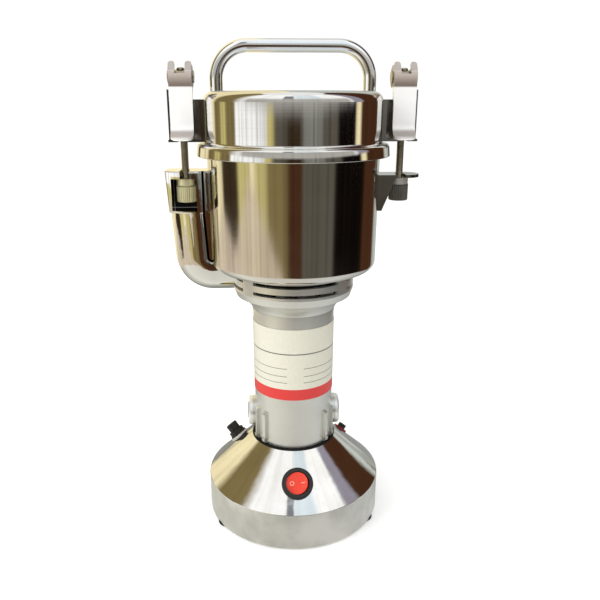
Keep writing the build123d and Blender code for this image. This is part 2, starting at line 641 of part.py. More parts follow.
def make_rotor():
    """Shaft with commutator, armature, fan, blades and nut, all turning together."""
    spacer_bottom = BOWL_FLOOR + BOWL_WALL + SEAL_PROUD + MOVING_GAP
    blade_bottom = spacer_bottom + SPACER_HEIGHT
    upper_blade_bottom = blade_bottom + BLADE_THICKNESS
    nut_bottom = upper_blade_bottom + BLADE_THICKNESS
    shaft_top = nut_bottom + SHAFT_IN_NUT
    shaft = disc(SHAFT_RADIUS, SHAFT_BOTTOM, shaft_top)
    PARTS["motor_shaft"] = shaft

    commutator = ring(COMMUTATOR_RADIUS, SHAFT_RADIUS, BRUSH_Z - COMMUTATOR_HEIGHT / 2,
                      BRUSH_Z + COMMUTATOR_HEIGHT / 2)
    for step in range(COMMUTATOR_BARS):
        cut = block(-COMMUTATOR_GAP / 2, COMMUTATOR_GAP / 2, -COMMUTATOR_RADIUS * 2,
                    -COMMUTATOR_RADIUS + COMMUTATOR_GAP_DEPTH, 0, BRUSH_Z * 2)
        commutator -= turned(step * 360 / COMMUTATOR_BARS) * cut
    PARTS["commutator"] = commutator

    core_top = ARMATURE_BOTTOM + ARMATURE_HEIGHT
    core = ring(ARMATURE_RADIUS, SHAFT_RADIUS, ARMATURE_BOTTOM, core_top)
    for step in range(ARMATURE_SLOTS):
        slot = block(-ARMATURE_SLOT_WIDTH / 2, ARMATURE_SLOT_WIDTH / 2, -ARMATURE_RADIUS * 2,
                     -ARMATURE_RADIUS + ARMATURE_SLOT_DEPTH, ARMATURE_BOTTOM, core_top)
        core -= turned(step * 360 / ARMATURE_SLOTS) * slot
    PARTS["armature_core"] = core
    ends = []
    for bottom in (ARMATURE_BOTTOM - WINDING_HEIGHT, core_top):
        end = ring(WINDING_RADIUS, SHAFT_RADIUS, bottom, bottom + WINDING_HEIGHT)
        far = bottom if bottom < ARMATURE_BOTTOM else bottom + WINDING_HEIGHT
        ends.append(round_circle(end, WINDING_RADIUS, far, WINDING_HEIGHT / 3))
    PARTS["armature_winding"] = group(ends)

    fan = ring(FAN_HUB_RADIUS, SHAFT_RADIUS, FAN_BOTTOM, FAN_BOTTOM + FAN_HEIGHT)
    fan += ring(FAN_RADIUS, SHAFT_RADIUS, FAN_BOTTOM + FAN_HEIGHT - FAN_SHEET, FAN_BOTTOM + FAN_HEIGHT)
    for step in range(FAN_BLADES):
        vane = block(-FAN_SHEET / 2, FAN_SHEET / 2, -FAN_RADIUS + FAN_SHEET, -FAN_HUB_RADIUS + FAN_SHEET,
                     FAN_BOTTOM, FAN_BOTTOM + FAN_HEIGHT)
        fan += turned(step * 360 / FAN_BLADES) * vane
    PARTS["cooling_fan"] = fan

    PARTS["blade_spacer"] = ring(SPACER_RADIUS, SHAFT_RADIUS, spacer_bottom, blade_bottom)
    bore = disc(SHAFT_RADIUS, blade_bottom, shaft_top)
    PARTS["grinding_blade"] = Pos(0, 0, blade_bottom) * blade(BLADE_REACH, BLADE_WIDTH) - bore
    PARTS["upper_blade"] = Pos(0, 0, upper_blade_bottom) * turned(90) * blade(
        UPPER_BLADE_REACH, UPPER_BLADE_WIDTH) - bore
    hexagon = RegularPolygon(BLADE_NUT_FLATS / 2, 6, major_radius=False)
    nut = Pos(0, 0, nut_bottom) * extrude(hexagon, BLADE_NUT_HEIGHT) - bore
    PARTS["blade_nut"] = nut


def make_bowl(screw_pcr):
    """Drawn steel bowl with a turned-out rim, and its shaft seal."""
    bowl = BOWL_FORM - bowl_form(BOWL_WALL)
    bowl += ring(BOWL_RIM_RADIUS, BOWL_RADIUS - BOWL_WALL, BOWL_TOP - BOWL_RIM_THICKNESS, BOWL_TOP)
    floor_top = BOWL_FLOOR + BOWL_WALL
    bowl -= disc(SEAL_RADIUS, BOWL_FLOOR, floor_top)
    for middle in POST_ANGLES:
        bowl -= around(middle, screw_pcr) * disc(BOWL_SCREW_RADIUS, BOWL_FLOOR, floor_top)
    PARTS["bowl"] = bowl
    seal = ring(SEAL_RADIUS, SHAFT_RADIUS + RUNNING_FIT, BOWL_FLOOR, floor_top)
    seal += ring(SEAL_FLANGE_RADIUS, SHAFT_RADIUS + RUNNING_FIT, floor_top, floor_top + SEAL_PROUD)
    PARTS["shaft_seal"] = seal


def make_lid():
    """Polished lid with its flared lip, gasket, carry handle and handle screws."""
    lip_inner = LIP_RADIUS - LID_WALL
    step_under = LIP_TOP - LID_WALL
    lip = spun((0, LIP_BOTTOM), (LIP_RADIUS, LIP_BOTTOM), (LIP_RADIUS - LIP_FLARE, LIP_TOP), (0, LIP_TOP))
    shell = LID_FORM + round_circle(lip, LIP_RADIUS - LIP_FLARE, LIP_TOP, LIP_SHOULDER_ROUND)
    shell -= lid_form(LID_WALL)
    shell -= spun((0, LIP_BOTTOM), (lip_inner, LIP_BOTTOM), (lip_inner - LIP_FLARE, step_under),
                  (0, step_under))
    washer_bottom = LID_TOP - LID_WALL - HANDLE_WASHER_THICKNESS
    leg_x = HANDLE_SPAN / 2
    washers = []
    screws = []
    for side in (-1, 1):
        place = Pos(side * leg_x, 0, 0)
        hole = place * disc(HANDLE_SCREW_RADIUS, washer_bottom, LID_TOP)
        shell -= hole
        washer = place * ring(HANDLE_WASHER_RADIUS, HANDLE_SCREW_RADIUS, washer_bottom, LID_TOP - LID_WALL)
        washers.append(washer & lid_form(LID_WALL))
        screws.append(place * screw(HANDLE_SCREW_RADIUS, washer_bottom, LID_TOP + HANDLE_SCREW_DEPTH))
    PARTS["lid_shell"] = shell
    PARTS["handle_washers"] = group(washers)
    PARTS["handle_screws"] = group(screws)
    gasket_inner = BOWL_RADIUS - BOWL_WALL
    PARTS["lid_gasket"] = ring(gasket_inner + GASKET_WIDTH, gasket_inner, BOWL_TOP + SEAT_GAP, step_under)

    bar_z = HANDLE_TOP - HANDLE_ROD / 2
    route = FilletPolyline((-leg_x, 0, LID_TOP), (-leg_x, 0, bar_z), (leg_x, 0, bar_z), (leg_x, 0, LID_TOP),
                           radius=HANDLE_CORNER)
    section = Plane(origin=(-leg_x, 0, LID_TOP), z_dir=(0, 0, 1)) * Circle(HANDLE_ROD / 2)
    handle = sweep(section, path=route)
    for side in (-1, 1):
        handle -= Pos(side * leg_x, 0, 0) * disc(HANDLE_SCREW_RADIUS, LID_TOP, LID_TOP + HANDLE_SCREW_DEPTH)
    PARTS["carry_handle"] = handle


def rod_slot(bottom, top, front):
    """Slot for the draw rod, open at the front and round at the back."""
    half = ROD_SLOT_WIDTH / 2
    slot = Pos(ROD_X, 0, 0) * disc(half, bottom, top)
    return slot + block(ROD_X - half, ROD_X + half, -front, 0, bottom, top)


CHEEK_INNER = PIN_BARREL_HALF + LATCH_GAP + EAR_SHEET + LATCH_GAP
CHEEK_OUTER = CHEEK_INNER + LEVER_CHEEK


def make_lid_bracket():
    """Welded bracket on the lid: saddle wall, flange with the rod slot, outer wall, back web and two ears."""
    flange_top = LID_BRACKET_FLANGE + LID_BRACKET_SHEET
    half = LID_BRACKET_DEPTH / 2
    root_x = LID_RADIUS - LID_BRACKET_ROOT
    wall_x = LID_RADIUS + LID_BRACKET_INNER_WALL
    outer_x = ROD_X + CHEEK_OUTER + LATCH_GAP
    body = block(root_x, wall_x, -half, half, LID_BRACKET_FLANGE, LID_BRACKET_INNER_TOP)
    body += block(root_x, outer_x + LID_BRACKET_SHEET, -half, half, LID_BRACKET_FLANGE, flange_top)
    body += block(outer_x, outer_x + LID_BRACKET_SHEET, -LID_BRACKET_OUTER_FRONT, LID_BRACKET_OUTER_BACK,
                  LID_BRACKET_FLANGE, LID_BRACKET_OUTER_TOP)
    body += block(root_x, outer_x, EAR_BACK, EAR_BACK + LID_BRACKET_SHEET, LID_BRACKET_FLANGE,
                  LID_BRACKET_INNER_TOP)
    body -= rod_slot(LID_BRACKET_FLANGE, flange_top, half)
    body -= LID_FORM
    for side in (-1, 1):
        inner = PIN_BARREL_HALF + LATCH_GAP
        x0, x1 = sorted((ROD_X + side * inner, ROD_X + side * (inner + EAR_SHEET)))
        ear = block(x0, x1, -EAR_FRONT, EAR_BACK, LID_BRACKET_FLANGE, PIN_Z)
        eye = Pos((x0 + x1) / 2, 0, PIN_Z) * Rot(0, 90, 0) * Cylinder(EAR_EYE_RADIUS, EAR_SHEET)
        body += ear + eye
    return body - Pos(ROD_X, 0, PIN_Z) * Rot(0, 90, 0) * Cylinder(PIN_JOURNAL, CHEEK_OUTER * 2)


def make_trunnion():
    """Cross pin with a barrel for the rod, journals for ears and lever, and riveted heads."""
    head_start = CHEEK_OUTER + LATCH_GAP
    head_end = head_start + PIN_HEAD_THICKNESS
    pin = Cylinder(PIN_JOURNAL, head_end * 2) + Cylinder(PIN_BARREL_RADIUS, PIN_BARREL_HALF * 2)
    for side in (-1, 1):
        head = Cylinder(PIN_HEAD_RADIUS, PIN_HEAD_THICKNESS)
        pin += Pos(0, 0, side * (head_start + head_end) / 2) * head
    pin = Pos(ROD_X, 0, PIN_Z) * Rot(0, 90, 0) * pin
    return pin - Pos(ROD_X, 0, 0) * disc(ROD_RADIUS + SLIDING_FIT, PIN_Z - PIN_HEAD_RADIUS * 2,
                                         PIN_Z + PIN_HEAD_RADIUS * 2)


def make_lever():
    """Bent sheet lever: two prongs, a band round the barrel, a flat plate and a tab that curls forward."""
    view = Plane(origin=(ROD_X, 0, PIN_Z), x_dir=(0, -1, 0), z_dir=(-1, 0, 0))
    band_sweep = LEVER_BAND_END - LEVER_BAND_TOP
    band = CenterArc((0, 0), LEVER_BAND_RADIUS, LEVER_BAND_TOP, band_sweep)
    prong = Line(band @ 0 - LEVER_PRONG * (band % 0), band @ 0)
    curve = JernArc(start=band @ 1, tangent=band % 1, radius=LEVER_CURVE, arc_size=-LEVER_BAND_END)
    plate = Line(curve @ 1, curve @ 1 + LEVER_PLATE * (curve % 1))
    tab = JernArc(start=plate @ 1, tangent=plate % 1, radius=LEVER_TAB_RADIUS, arc_size=LEVER_TAB_TURN)
    lip = Line(tab @ 1, tab @ 1 + LEVER_TAB_LENGTH * (tab % 1))
    strip = trace([prong, band, curve, plate, tab, lip], LEVER_SHEET)
    body = extrude(view * strip, CHEEK_OUTER, both=True)
    tip = [e for e in body.edges().filter_by(GeomType.LINE) if abs(e.length - LEVER_SHEET) < 1e-3]
    tip = sorted(tip, key=lambda e: e.center().Y)[:2]
    body = fillet(tip, LEVER_TAB_CORNER)
    fork_z = PIN_Z + LEVER_BAND_RADIUS * sin(radians(LEVER_FORK_START))
    half_fork = LEVER_FORK_WIDTH / 2
    body -= block(ROD_X - half_fork, ROD_X + half_fork, -LEVER_BAND_RADIUS * 2, 0, fork_z,
                  PIN_Z + LEVER_BAND_RADIUS * 2)
    tops = [e for e in body.edges().filter_by(GeomType.LINE) if abs(e.length - LEVER_SHEET) < 1e-3]
    body = fillet(sorted(tops, key=lambda e: -e.center().Z)[:4], LEVER_PRONG_ROUND)
    plate_front = (plate @ 0).X
    cheek_bottom = (plate @ 0).Y - LEVER_PLATE / 2
    web = make_face(Polyline((0, LEVER_BAND_RADIUS), (0, -LEVER_BAND_RADIUS), (plate_front, cheek_bottom),
                             (plate_front, 0), close=True))
    cheek = Circle(LEVER_BAND_RADIUS) + web
    for side in (-1, 1):
        start = CHEEK_INNER if side > 0 else -CHEEK_OUTER
        body += view * Pos(0, 0, start) * extrude(cheek, LEVER_CHEEK)
    return body - Pos(ROD_X, 0, PIN_Z) * Rot(0, 90, 0) * Cylinder(PIN_JOURNAL + RUNNING_FIT, CHEEK_OUTER * 3)


def make_rod():
    """Draw rod with a domed end above the trunnion."""
    top = PIN_Z + ROD_ABOVE_PIN
    rod = Pos(ROD_X, 0, 0) * disc(ROD_RADIUS, NUT_TOP - NUT_HEIGHT + ROD_END_INSET, top)
    return fillet(rod.edges().group_by(Axis.Z)[-1], ROD_DOME)


def make_thumb_nut():
    """Knurled thumb nut with a plain collar that seats under the bracket plate."""
    bottom = NUT_TOP - NUT_HEIGHT
    knurl_top = NUT_TOP - NUT_COLLAR_HEIGHT
    nut = disc(NUT_RADIUS, bottom, knurl_top)
    nut = chamfer(nut.edges().filter_by(GeomType.CIRCLE), NUT_TOOTH_DEPTH)
    for step in range(NUT_TEETH):
        side = NUT_TOOTH_DEPTH * sqrt(2)
        groove = Rot(0, 0, 45) * Box(side, side, NUT_HEIGHT * 3)
        nut -= turned(step * 360 / NUT_TEETH) * Pos(0, -NUT_RADIUS, bottom) * groove
    nut += disc(NUT_COLLAR_RADIUS, knurl_top, NUT_TOP)
    nut -= disc(ROD_RADIUS + RUNNING_FIT, bottom, NUT_TOP)
    return Pos(ROD_X, 0, 0) * nut


PLATE_UNDER = NUT_TOP + MOVING_GAP


def make_bowl_bracket():
    """Steel bracket on the bowl's right: a slotted plate on two gussets and a saddle wall."""
    top = PLATE_UNDER + BOWL_BRACKET_PLATE
    half = BOWL_BRACKET_DEPTH / 2
    inside = BOWL_FLOOR_RADIUS - BOWL_WALL
    plate = block(inside, ARM_REACH - half, -half, half, PLATE_UNDER, top)
    plate += Pos(ARM_REACH - half, 0, 0) * disc(half, PLATE_UNDER, top)
    body = plate - rod_slot(PLATE_UNDER, top, half)
    wall_x = BOWL_RADIUS + GUSSET_SHEET
    body += block(inside, wall_x, -half, half, BOWL_BRACKET_BOTTOM, top)
    for side in (-1, 1):
        outline = Polyline((inside, 0, BOWL_BRACKET_BOTTOM), (wall_x, 0, BOWL_BRACKET_BOTTOM),
                           (BOWL_RADIUS + GUSSET_REACH, 0, PLATE_UNDER), (inside, 0, PLATE_UNDER), close=True)
        sheet = extrude(make_face(outline), GUSSET_SHEET / 2, dir=(0, 1, 0), both=True)
        body += Pos(0, side * (half - GUSSET_SHEET / 2), 0) * sheet
    return body - BOWL_FORM


def make_side_arm():
    """Chrome arm on the left: a window for the nut above, then a bar that curls in under the bowl."""
    top = PLATE_UNDER + ARM_TOP_PLATE
    half = ARM_DEPTH / 2
    inner_x = BELL_RADIUS - BELL_WALL
    outline = make_face(Polyline((inner_x, 0, top), (ARM_REACH, 0, top), (ARM_CORNER_X, 0, ARM_SOLE_Z),
                                 (inner_x, 0, ARM_SOLE_Z), close=True))
    corner = outline.vertices().sort_by_distance((ARM_CORNER_X, 0, ARM_SOLE_Z))[0]
    outline = fillet(corner, ARM_ELBOW_RADIUS)
    whole = extrude(outline, half, dir=(0, 1, 0), both=True)
    head_bottom = ARM_WINDOW_BOTTOM - ARM_HEAD_LIP
    head = whole & block(inner_x, ARM_REACH, -half, half, head_bottom, top)
    head_edges = [e for e in head.edges() if e.center().X > inner_x + 1 and e.center().Z > head_bottom + 1]
    head = fillet(head_edges, ARM_HEAD_ROUND)
    bar_edges = [e for e in whole.edges() if abs(abs(e.center().Y) - half) < 1e-3
                 and e.center().X > inner_x + 1 and abs(e.center().Z - top) > 1]
    bar = fillet(bar_edges, ARM_EDGE_ROUND) & block(inner_x, ARM_REACH, -half, half, ARM_SOLE_Z, head_bottom)
    body = head + bar
    body -= BOWL_FORM
    body -= disc(BELL_RADIUS, ARM_SOLE_Z - ARM_ELBOW_RADIUS, BOWL_FLOOR)
    wall_x = BOWL_RADIUS + ARM_INNER_WALL
    body -= block(wall_x, ARM_REACH - ARM_OUTER_WALL, -half, half - ARM_WINDOW_BACK,
                  ARM_WINDOW_BOTTOM, PLATE_UNDER)
    body -= rod_slot(PLATE_UNDER, top, half)
    return body


def side_screw(z, seat):
    """Screw through the bowl's right wall at one height, with the underside of its head on a seat."""
    shank = disc(BRACKET_SCREW_RADIUS, BOWL_FLOOR_RADIUS - BOWL_WALL, seat)
    head = disc(BRACKET_SCREW_RADIUS * SCREW_HEAD_RATIO, seat, seat + SCREW_HEAD_HEIGHT)
    return Pos(0, 0, z) * Rot(0, 90, 0) * (shank + head)


def make_latches():
    """Both latches, with the bracket on the right and the chrome arm on the left."""
    pieces = {"lid_bracket": make_lid_bracket(), "trunnion_pin": make_trunnion(), "latch_lever": make_lever(),
              "draw_rod": make_rod(), "thumb_nut": make_thumb_nut()}
    for name, piece in pieces.items():
        PARTS[name + "_right"] = piece
        PARTS[name + "_left"] = mirrored(piece)
    bracket = make_bowl_bracket()
    arm = make_side_arm()
    sunk_seat = BOWL_RADIUS + ARM_INNER_WALL - SCREW_HEAD_HEIGHT
    screws = []
    for drop in BRACKET_SCREW_DROPS:
        z = NUT_TOP - drop
        right = side_screw(z, BOWL_RADIUS + GUSSET_SHEET)
        left = side_screw(z, sunk_seat)
        bracket -= right
        arm -= left
        PARTS["bowl"] -= right
        PARTS["bowl"] -= mirrored(left)
        screws += [right, mirrored(left)]
    PARTS["bowl_bracket"] = bracket
    PARTS["side_arm"] = mirrored(arm)
    PARTS["bracket_screws"] = group(screws)


def seated(plane, radius, bottom, top):
    """Round bar along a seat's normal, heights measured from the cone's face."""
    return plane * disc(radius, bottom, top)


def panel_nut(plane, body_radius):
    """Ring nut inside the shell, shaped to the wall that it clamps."""
    nut = plane * ring(body_radius + PANEL_NUT_WIDTH, body_radius, -BASE_WALL - PANEL_NUT_HEIGHT, 0)
    return nut & BASE_INSIDE


def make_switch():
    """Round rocker switch on the front of the cone."""
    housing = seated(SWITCH_SEAT, SWITCH_BODY_RADIUS, -SWITCH_BODY_DEPTH, 0)
    bezel = disc(SWITCH_BEZEL_RADIUS, -SWITCH_BEZEL_PROUD, SWITCH_BEZEL_PROUD)
    bezel = round_circle(bezel, SWITCH_BEZEL_RADIUS, SWITCH_BEZEL_PROUD, SWITCH_BEZEL_PROUD / 2)
    housing += SWITCH_SEAT * bezel - BASE_ENVELOPE
    housing -= seated(SWITCH_SEAT, SWITCH_WELL_RADIUS, SWITCH_BEZEL_PROUD - SWITCH_WELL_DEPTH,
                      SWITCH_BEZEL_PROUD)
    pivot_z = SWITCH_BEZEL_PROUD - ROCKER_FACE_HEIGHT - ROCKER_PIVOT_DROP
    reach = ROCKER_RADIUS
    rise = reach * sin(radians(ROCKER_FACE_ANGLE))
    face = make_face(Polyline((-reach, 0, -ROCKER_DEPTH), (reach, 0, -ROCKER_DEPTH),
                              (reach, 0, ROCKER_FACE_HEIGHT + rise), (0, 0, ROCKER_FACE_HEIGHT),
                              (-reach, 0, ROCKER_FACE_HEIGHT + rise), close=True))
    rocker = extrude(face, reach, dir=(0, 1, 0), both=True) & Sphere(ROCKER_RADIUS)
    pivot = Rot(90, 0, 0) * Cylinder(ROCKER_PIVOT_RADIUS, SWITCH_WELL_RADIUS * 2 + BASE_WALL)
    rocker += pivot
    housing -= SWITCH_SEAT * Pos(0, 0, pivot_z) * Rot(90, 0, 0) * Cylinder(
        ROCKER_PIVOT_RADIUS + RUNNING_FIT, SWITCH_WELL_RADIUS * 2 + BASE_WALL + 2 * SLIDING_FIT)
    PARTS["switch_housing"] = housing
    PARTS["switch_rocker"] = SWITCH_SEAT * Pos(0, 0, pivot_z) * Rot(0, -ROCKER_TILT, 0) * rocker
    pivot = SWITCH_SEAT.origin + pivot_z * SWITCH_SEAT.z_dir
    print("rocker pivot", pivot, "axis", SWITCH_SEAT.y_dir)


def make_fuse():
    """Panel fuse holder with its washer, carrier, fuse tube and fluted cap."""
    flange_bottom = FUSE_WASHER_HEIGHT
    flange_top = flange_bottom + FUSE_FLANGE_HEIGHT
    neck_top = flange_top + FUSE_NECK_HEIGHT
    cap_bottom = neck_top + MOVING_GAP
    floor = FUSE_FLOOR - FUSE_BODY_DEPTH
    washer = disc(FUSE_WASHER_RADIUS, -FUSE_WASHER_RADIUS / 4, flange_bottom) - disc(
        FUSE_BODY_RADIUS, -FUSE_WASHER_RADIUS, flange_bottom)
    PARTS["fuse_washer"] = FUSE_SEAT * washer - BASE_ENVELOPE
    body = disc(FUSE_BODY_RADIUS, -FUSE_BODY_DEPTH, flange_bottom)
    body += disc(FUSE_FLANGE_RADIUS, flange_bottom, flange_top)
    body += disc(FUSE_NECK_RADIUS, flange_top, neck_top)
    body -= disc(FUSE_BORE, floor, neck_top)
    PARTS["fuse_holder"] = FUSE_SEAT * body
    carrier_bottom = floor + MOVING_GAP
    fuse_bottom = carrier_bottom + SLIDING_FIT
    carrier = disc(FUSE_BORE - SLIDING_FIT, carrier_bottom, neck_top)
    carrier += disc(FUSE_CAP_PIN, neck_top, cap_bottom + FUSE_CAP_HEIGHT / 2)
    carrier -= disc(FUSE_TUBE_RADIUS, carrier_bottom, fuse_bottom + FUSE_TUBE_LENGTH)
    PARTS["fuse_carrier"] = FUSE_SEAT * carrier
    PARTS["fuse_tube"] = seated(FUSE_SEAT, FUSE_TUBE_RADIUS, fuse_bottom, fuse_bottom + FUSE_TUBE_LENGTH)
    cap = disc(FUSE_CAP_RADIUS, cap_bottom, cap_bottom + FUSE_CAP_HEIGHT)
    cap = round_circle(cap, FUSE_CAP_RADIUS, cap_bottom + FUSE_CAP_HEIGHT, FUSE_CAP_HEIGHT / 8)
    for step in range(FUSE_CAP_FLUTES):
        flute = around(step * 360 / FUSE_CAP_FLUTES, FUSE_CAP_RADIUS + FUSE_FLUTE_RADIUS / 2)
        cap -= flute * disc(FUSE_FLUTE_RADIUS, 0, cap_bottom + FUSE_CAP_HEIGHT * 2)
    cap -= disc(FUSE_CAP_PIN + RUNNING_FIT, cap_bottom, cap_bottom + FUSE_CAP_HEIGHT / 2 + SLIDING_FIT)
    PARTS["fuse_cap"] = FUSE_SEAT * cap


def make_reset():
    """Overload reset: threaded bush, red collar and sprung button."""
    inner = RESET_BUTTON_RADIUS + RESET_BUTTON_FLANGE
    body = disc(RESET_BODY_RADIUS, -RESET_BODY_DEPTH, RESET_COLLAR_HEIGHT)
    body -= disc(RESET_BUTTON_RADIUS + SLIDING_FIT, RESET_WELL, RESET_COLLAR_HEIGHT)
    body -= disc(inner + SLIDING_FIT, RESET_WELL, -RESET_COLLAR_HEIGHT)
    PARTS["reset_bush"] = RESET_SEAT * body
    collar = ring(RESET_COLLAR_RADIUS, RESET_BODY_RADIUS, -RESET_COLLAR_HEIGHT, RESET_COLLAR_HEIGHT)
    PARTS["reset_collar"] = RESET_SEAT * collar - BASE_ENVELOPE
    button = disc(RESET_BUTTON_RADIUS, RESET_FLANGE_TOP, RESET_BUTTON_PROUD)
    button = round_circle(button, RESET_BUTTON_RADIUS, RESET_BUTTON_PROUD, RESET_BUTTON_RADIUS / 4)
    button += disc(inner, RESET_FLANGE_TOP - RESET_BUTTON_FLANGE, RESET_FLANGE_TOP)
    PARTS["reset_button"] = RESET_SEAT * button


def make_gland():
    """Cord gland in the back of the cone with an empty bore, and the ring nuts behind the wall."""
    body_radius = GLAND_RADIUS - PANEL_NUT_WIDTH
    body = disc(body_radius, -GLAND_DEPTH, GLAND_PROUD)
    collar = disc(GLAND_RADIUS, -GLAND_PROUD, GLAND_PROUD)
    collar = round_circle(collar, GLAND_RADIUS, GLAND_PROUD, GLAND_PROUD / 3)
    gland = GLAND_SEAT * body + (GLAND_SEAT * collar - BASE_ENVELOPE)
    PARTS["cord_gland"] = gland - seated(GLAND_SEAT, GLAND_BORE, -GLAND_DEPTH * 2, GLAND_PROUD * 2)
    nuts = [panel_nut(FUSE_SEAT, FUSE_BODY_RADIUS), panel_nut(RESET_SEAT, RESET_BODY_RADIUS),
            panel_nut(GLAND_SEAT, body_radius)]
    PARTS["panel_nuts"] = group(nuts)


make_column(make_base())
make_brush_gear()
make_motor()
make_rotor()
make_bowl(make_bell())
make_lid()
make_latches()
make_switch()
make_fuse()
make_reset()
make_gland()

os.makedirs("parts", exist_ok=True)
for node, shape in PARTS.items():
    export_step(shape, "parts/" + node + ".step")

print("fuse axis", FUSE_SEAT.z_dir, "from", FUSE_SEAT.origin, "reset axis", RESET_SEAT.z_dir)
print("cone slope", degrees(CONE_ANGLE), "nodes", len(PARTS))
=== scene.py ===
from math import cos, pi, radians, sin, tan

import bpy
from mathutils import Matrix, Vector


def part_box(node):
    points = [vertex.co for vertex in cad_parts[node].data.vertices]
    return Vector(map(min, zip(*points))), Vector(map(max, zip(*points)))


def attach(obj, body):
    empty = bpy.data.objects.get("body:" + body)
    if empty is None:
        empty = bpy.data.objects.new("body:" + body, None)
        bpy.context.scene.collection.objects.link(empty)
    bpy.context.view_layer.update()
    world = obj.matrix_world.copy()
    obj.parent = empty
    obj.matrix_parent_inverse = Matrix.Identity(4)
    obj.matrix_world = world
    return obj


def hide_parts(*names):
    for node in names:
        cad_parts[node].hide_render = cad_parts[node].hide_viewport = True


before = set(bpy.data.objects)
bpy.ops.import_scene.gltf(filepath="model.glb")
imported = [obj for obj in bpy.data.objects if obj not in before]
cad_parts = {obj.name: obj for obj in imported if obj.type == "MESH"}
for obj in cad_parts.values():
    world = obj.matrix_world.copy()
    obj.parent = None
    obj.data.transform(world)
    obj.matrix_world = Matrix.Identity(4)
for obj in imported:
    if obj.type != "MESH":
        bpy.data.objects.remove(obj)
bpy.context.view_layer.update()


# Rubber feet under the rim of the base: four soft black buttons,
# moulded in one piece and glued to the base plate.
class Wire:
    """One socket of a material, on which sums and products can be written out."""

    def __init__(self, socket):
        self.socket = socket

    def node(self, kind, settings, inputs, out=0):
        """Adds a node to the same material, sets it up and gives back one of its outputs."""
        made = self.socket.id_data.nodes.new("ShaderNode" + kind)
        for name, value in settings.items():
            if name == "stops":
                elements = made.color_ramp.elements
                while len(elements) < len(value):
                    elements.new(1)
                for element, (position, colour) in zip(elements, value):
                    element.position = position
                    element.color = (*colour, 1)
            else:
                setattr(made, name, value)
        for name, value in inputs.items():
            if isinstance(value, Wire):
                made.id_data.links.new(value.socket, made.inputs[name])
            else:
                made.inputs[name].default_value = value
        return Wire(made.outputs[out])

    def maths(self, operation, *others):
        return self.node("Math", {"operation": operation}, dict(enumerate((self, *others))))

    def __add__(self, other):
        return self.maths("ADD", other)

    def __sub__(self, other):
        return self.maths("SUBTRACT", other)

    def __rsub__(self, other):
        return self.node("Math", {"operation": "SUBTRACT"}, {0: other, 1: self})

    def __mul__(self, other):
        return self.maths("MULTIPLY", other)

    __radd__ = __add__
    __rmul__ = __mul__

    def step(self, start, end):
        """Rises smoothly from 0 to 1 between two values."""
        return self.node("MapRange", {"interpolation_type": "SMOOTHSTEP"},
                         {"Value": self, "From Min": start, "From Max": end})

    def between(self, low, high, soft):
        """1 inside a band of values, 0 outside, with soft edges."""
        return self.step(low - soft, low + soft) * (1 - self.step(high - soft, high + soft))

    def tint(self, low, high):
        """Colour that goes from low to high as the value goes from 0 to 1."""
        ends = [c if isinstance(c, Wire) else (*c, 1) for c in (low, high)]
        return self.node("Mix", {"data_type": "RGBA"}, {0: self, 6: ends[0], 7: ends[1]}, out=2)

    def noise(self, stretch, detail=2.0, rough=0.5):
        """Cloudy value between 0 and 1, with so many features to the metre along each axis."""
        place = self.node("Mapping", {}, {"Vector": self, "Scale": stretch})
        return place.node("TexNoise", {}, {"Vector": place, "Scale": 1.0, "Detail": detail, "Roughness": rough})

    def axis(self, letter):
        return self.node("SeparateXYZ", {}, {0: self}, out=letter)


class Finish:
    """A procedural material: constants on its shader, and what varies over the surface linked to it."""

    def __init__(self, name, **constants):
        self.material = bpy.data.materials.new(name)
        self.material.use_nodes = True
        self.tree = self.material.node_tree
        self.shader = self.tree.nodes["Principled BSDF"]
        for socket, value in constants.items():
            self.shader.inputs[socket.replace("_", " ")].default_value = value
        self.place = Wire(self.tree.nodes.new("ShaderNodeTexCoord").outputs["Object"])

    def link(self, socket, wire):
        self.tree.links.new(wire.socket, self.shader.inputs[socket])

    def bump(self, height, depth):
        """Relief of the given depth in metres."""
        self.link("Normal", height.node("Bump", {}, {"Height": height, "Distance": depth, "Strength": 1.0}))

    def on(self, *nodes):
        """Puts the material on CAD nodes by name."""
        for name in nodes:
            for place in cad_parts[name].material_slots:
                place.material = self.material


def shade(red, green, blue):
    """Colour as seen on a screen, 0 to 255, in the linear values that a shader takes."""
    return tuple((c / 255) ** 2.2 for c in (red, green, blue))


rubber = Finish("moulded_rubber", Specular_IOR_Level=0.15)
rubber_grain = rubber.place.noise((900, 900, 900), detail=3)
rubber.link("Base Color", rubber_grain.tint(shade(16, 16, 16), shade(38, 37, 36)))
rubber.link("Roughness", 0.55 + 0.25 * rubber_grain)
rubber.bump(rubber_grain, 0.00006)
rubber.on("rubber_feet", "shaft_seal")

# Base plate with its screws, and the ring nuts behind the panel pieces:
# zinc-plated steel, pressed and turned, with the cloudy look of passivated plating.
zinc = Finish("zinc_plating", Metallic=1.0)
zinc_cloud = zinc.place.noise((140, 140, 140), detail=4)
zinc_grain = zinc.place.noise((2600, 2600, 900), detail=2)
zinc.link("Base Color", zinc_cloud.tint(shade(196, 194, 176), shade(226, 224, 212)))
zinc.link("Roughness", 0.3 + 0.22 * zinc_cloud)
zinc.bump(zinc_grain, 0.00002)
zinc.on("base_plate", "base_screws", "panel_nuts", "rib_screws", "bowl_screws", "bracket_screws",
        "handle_screws", "handle_washers")

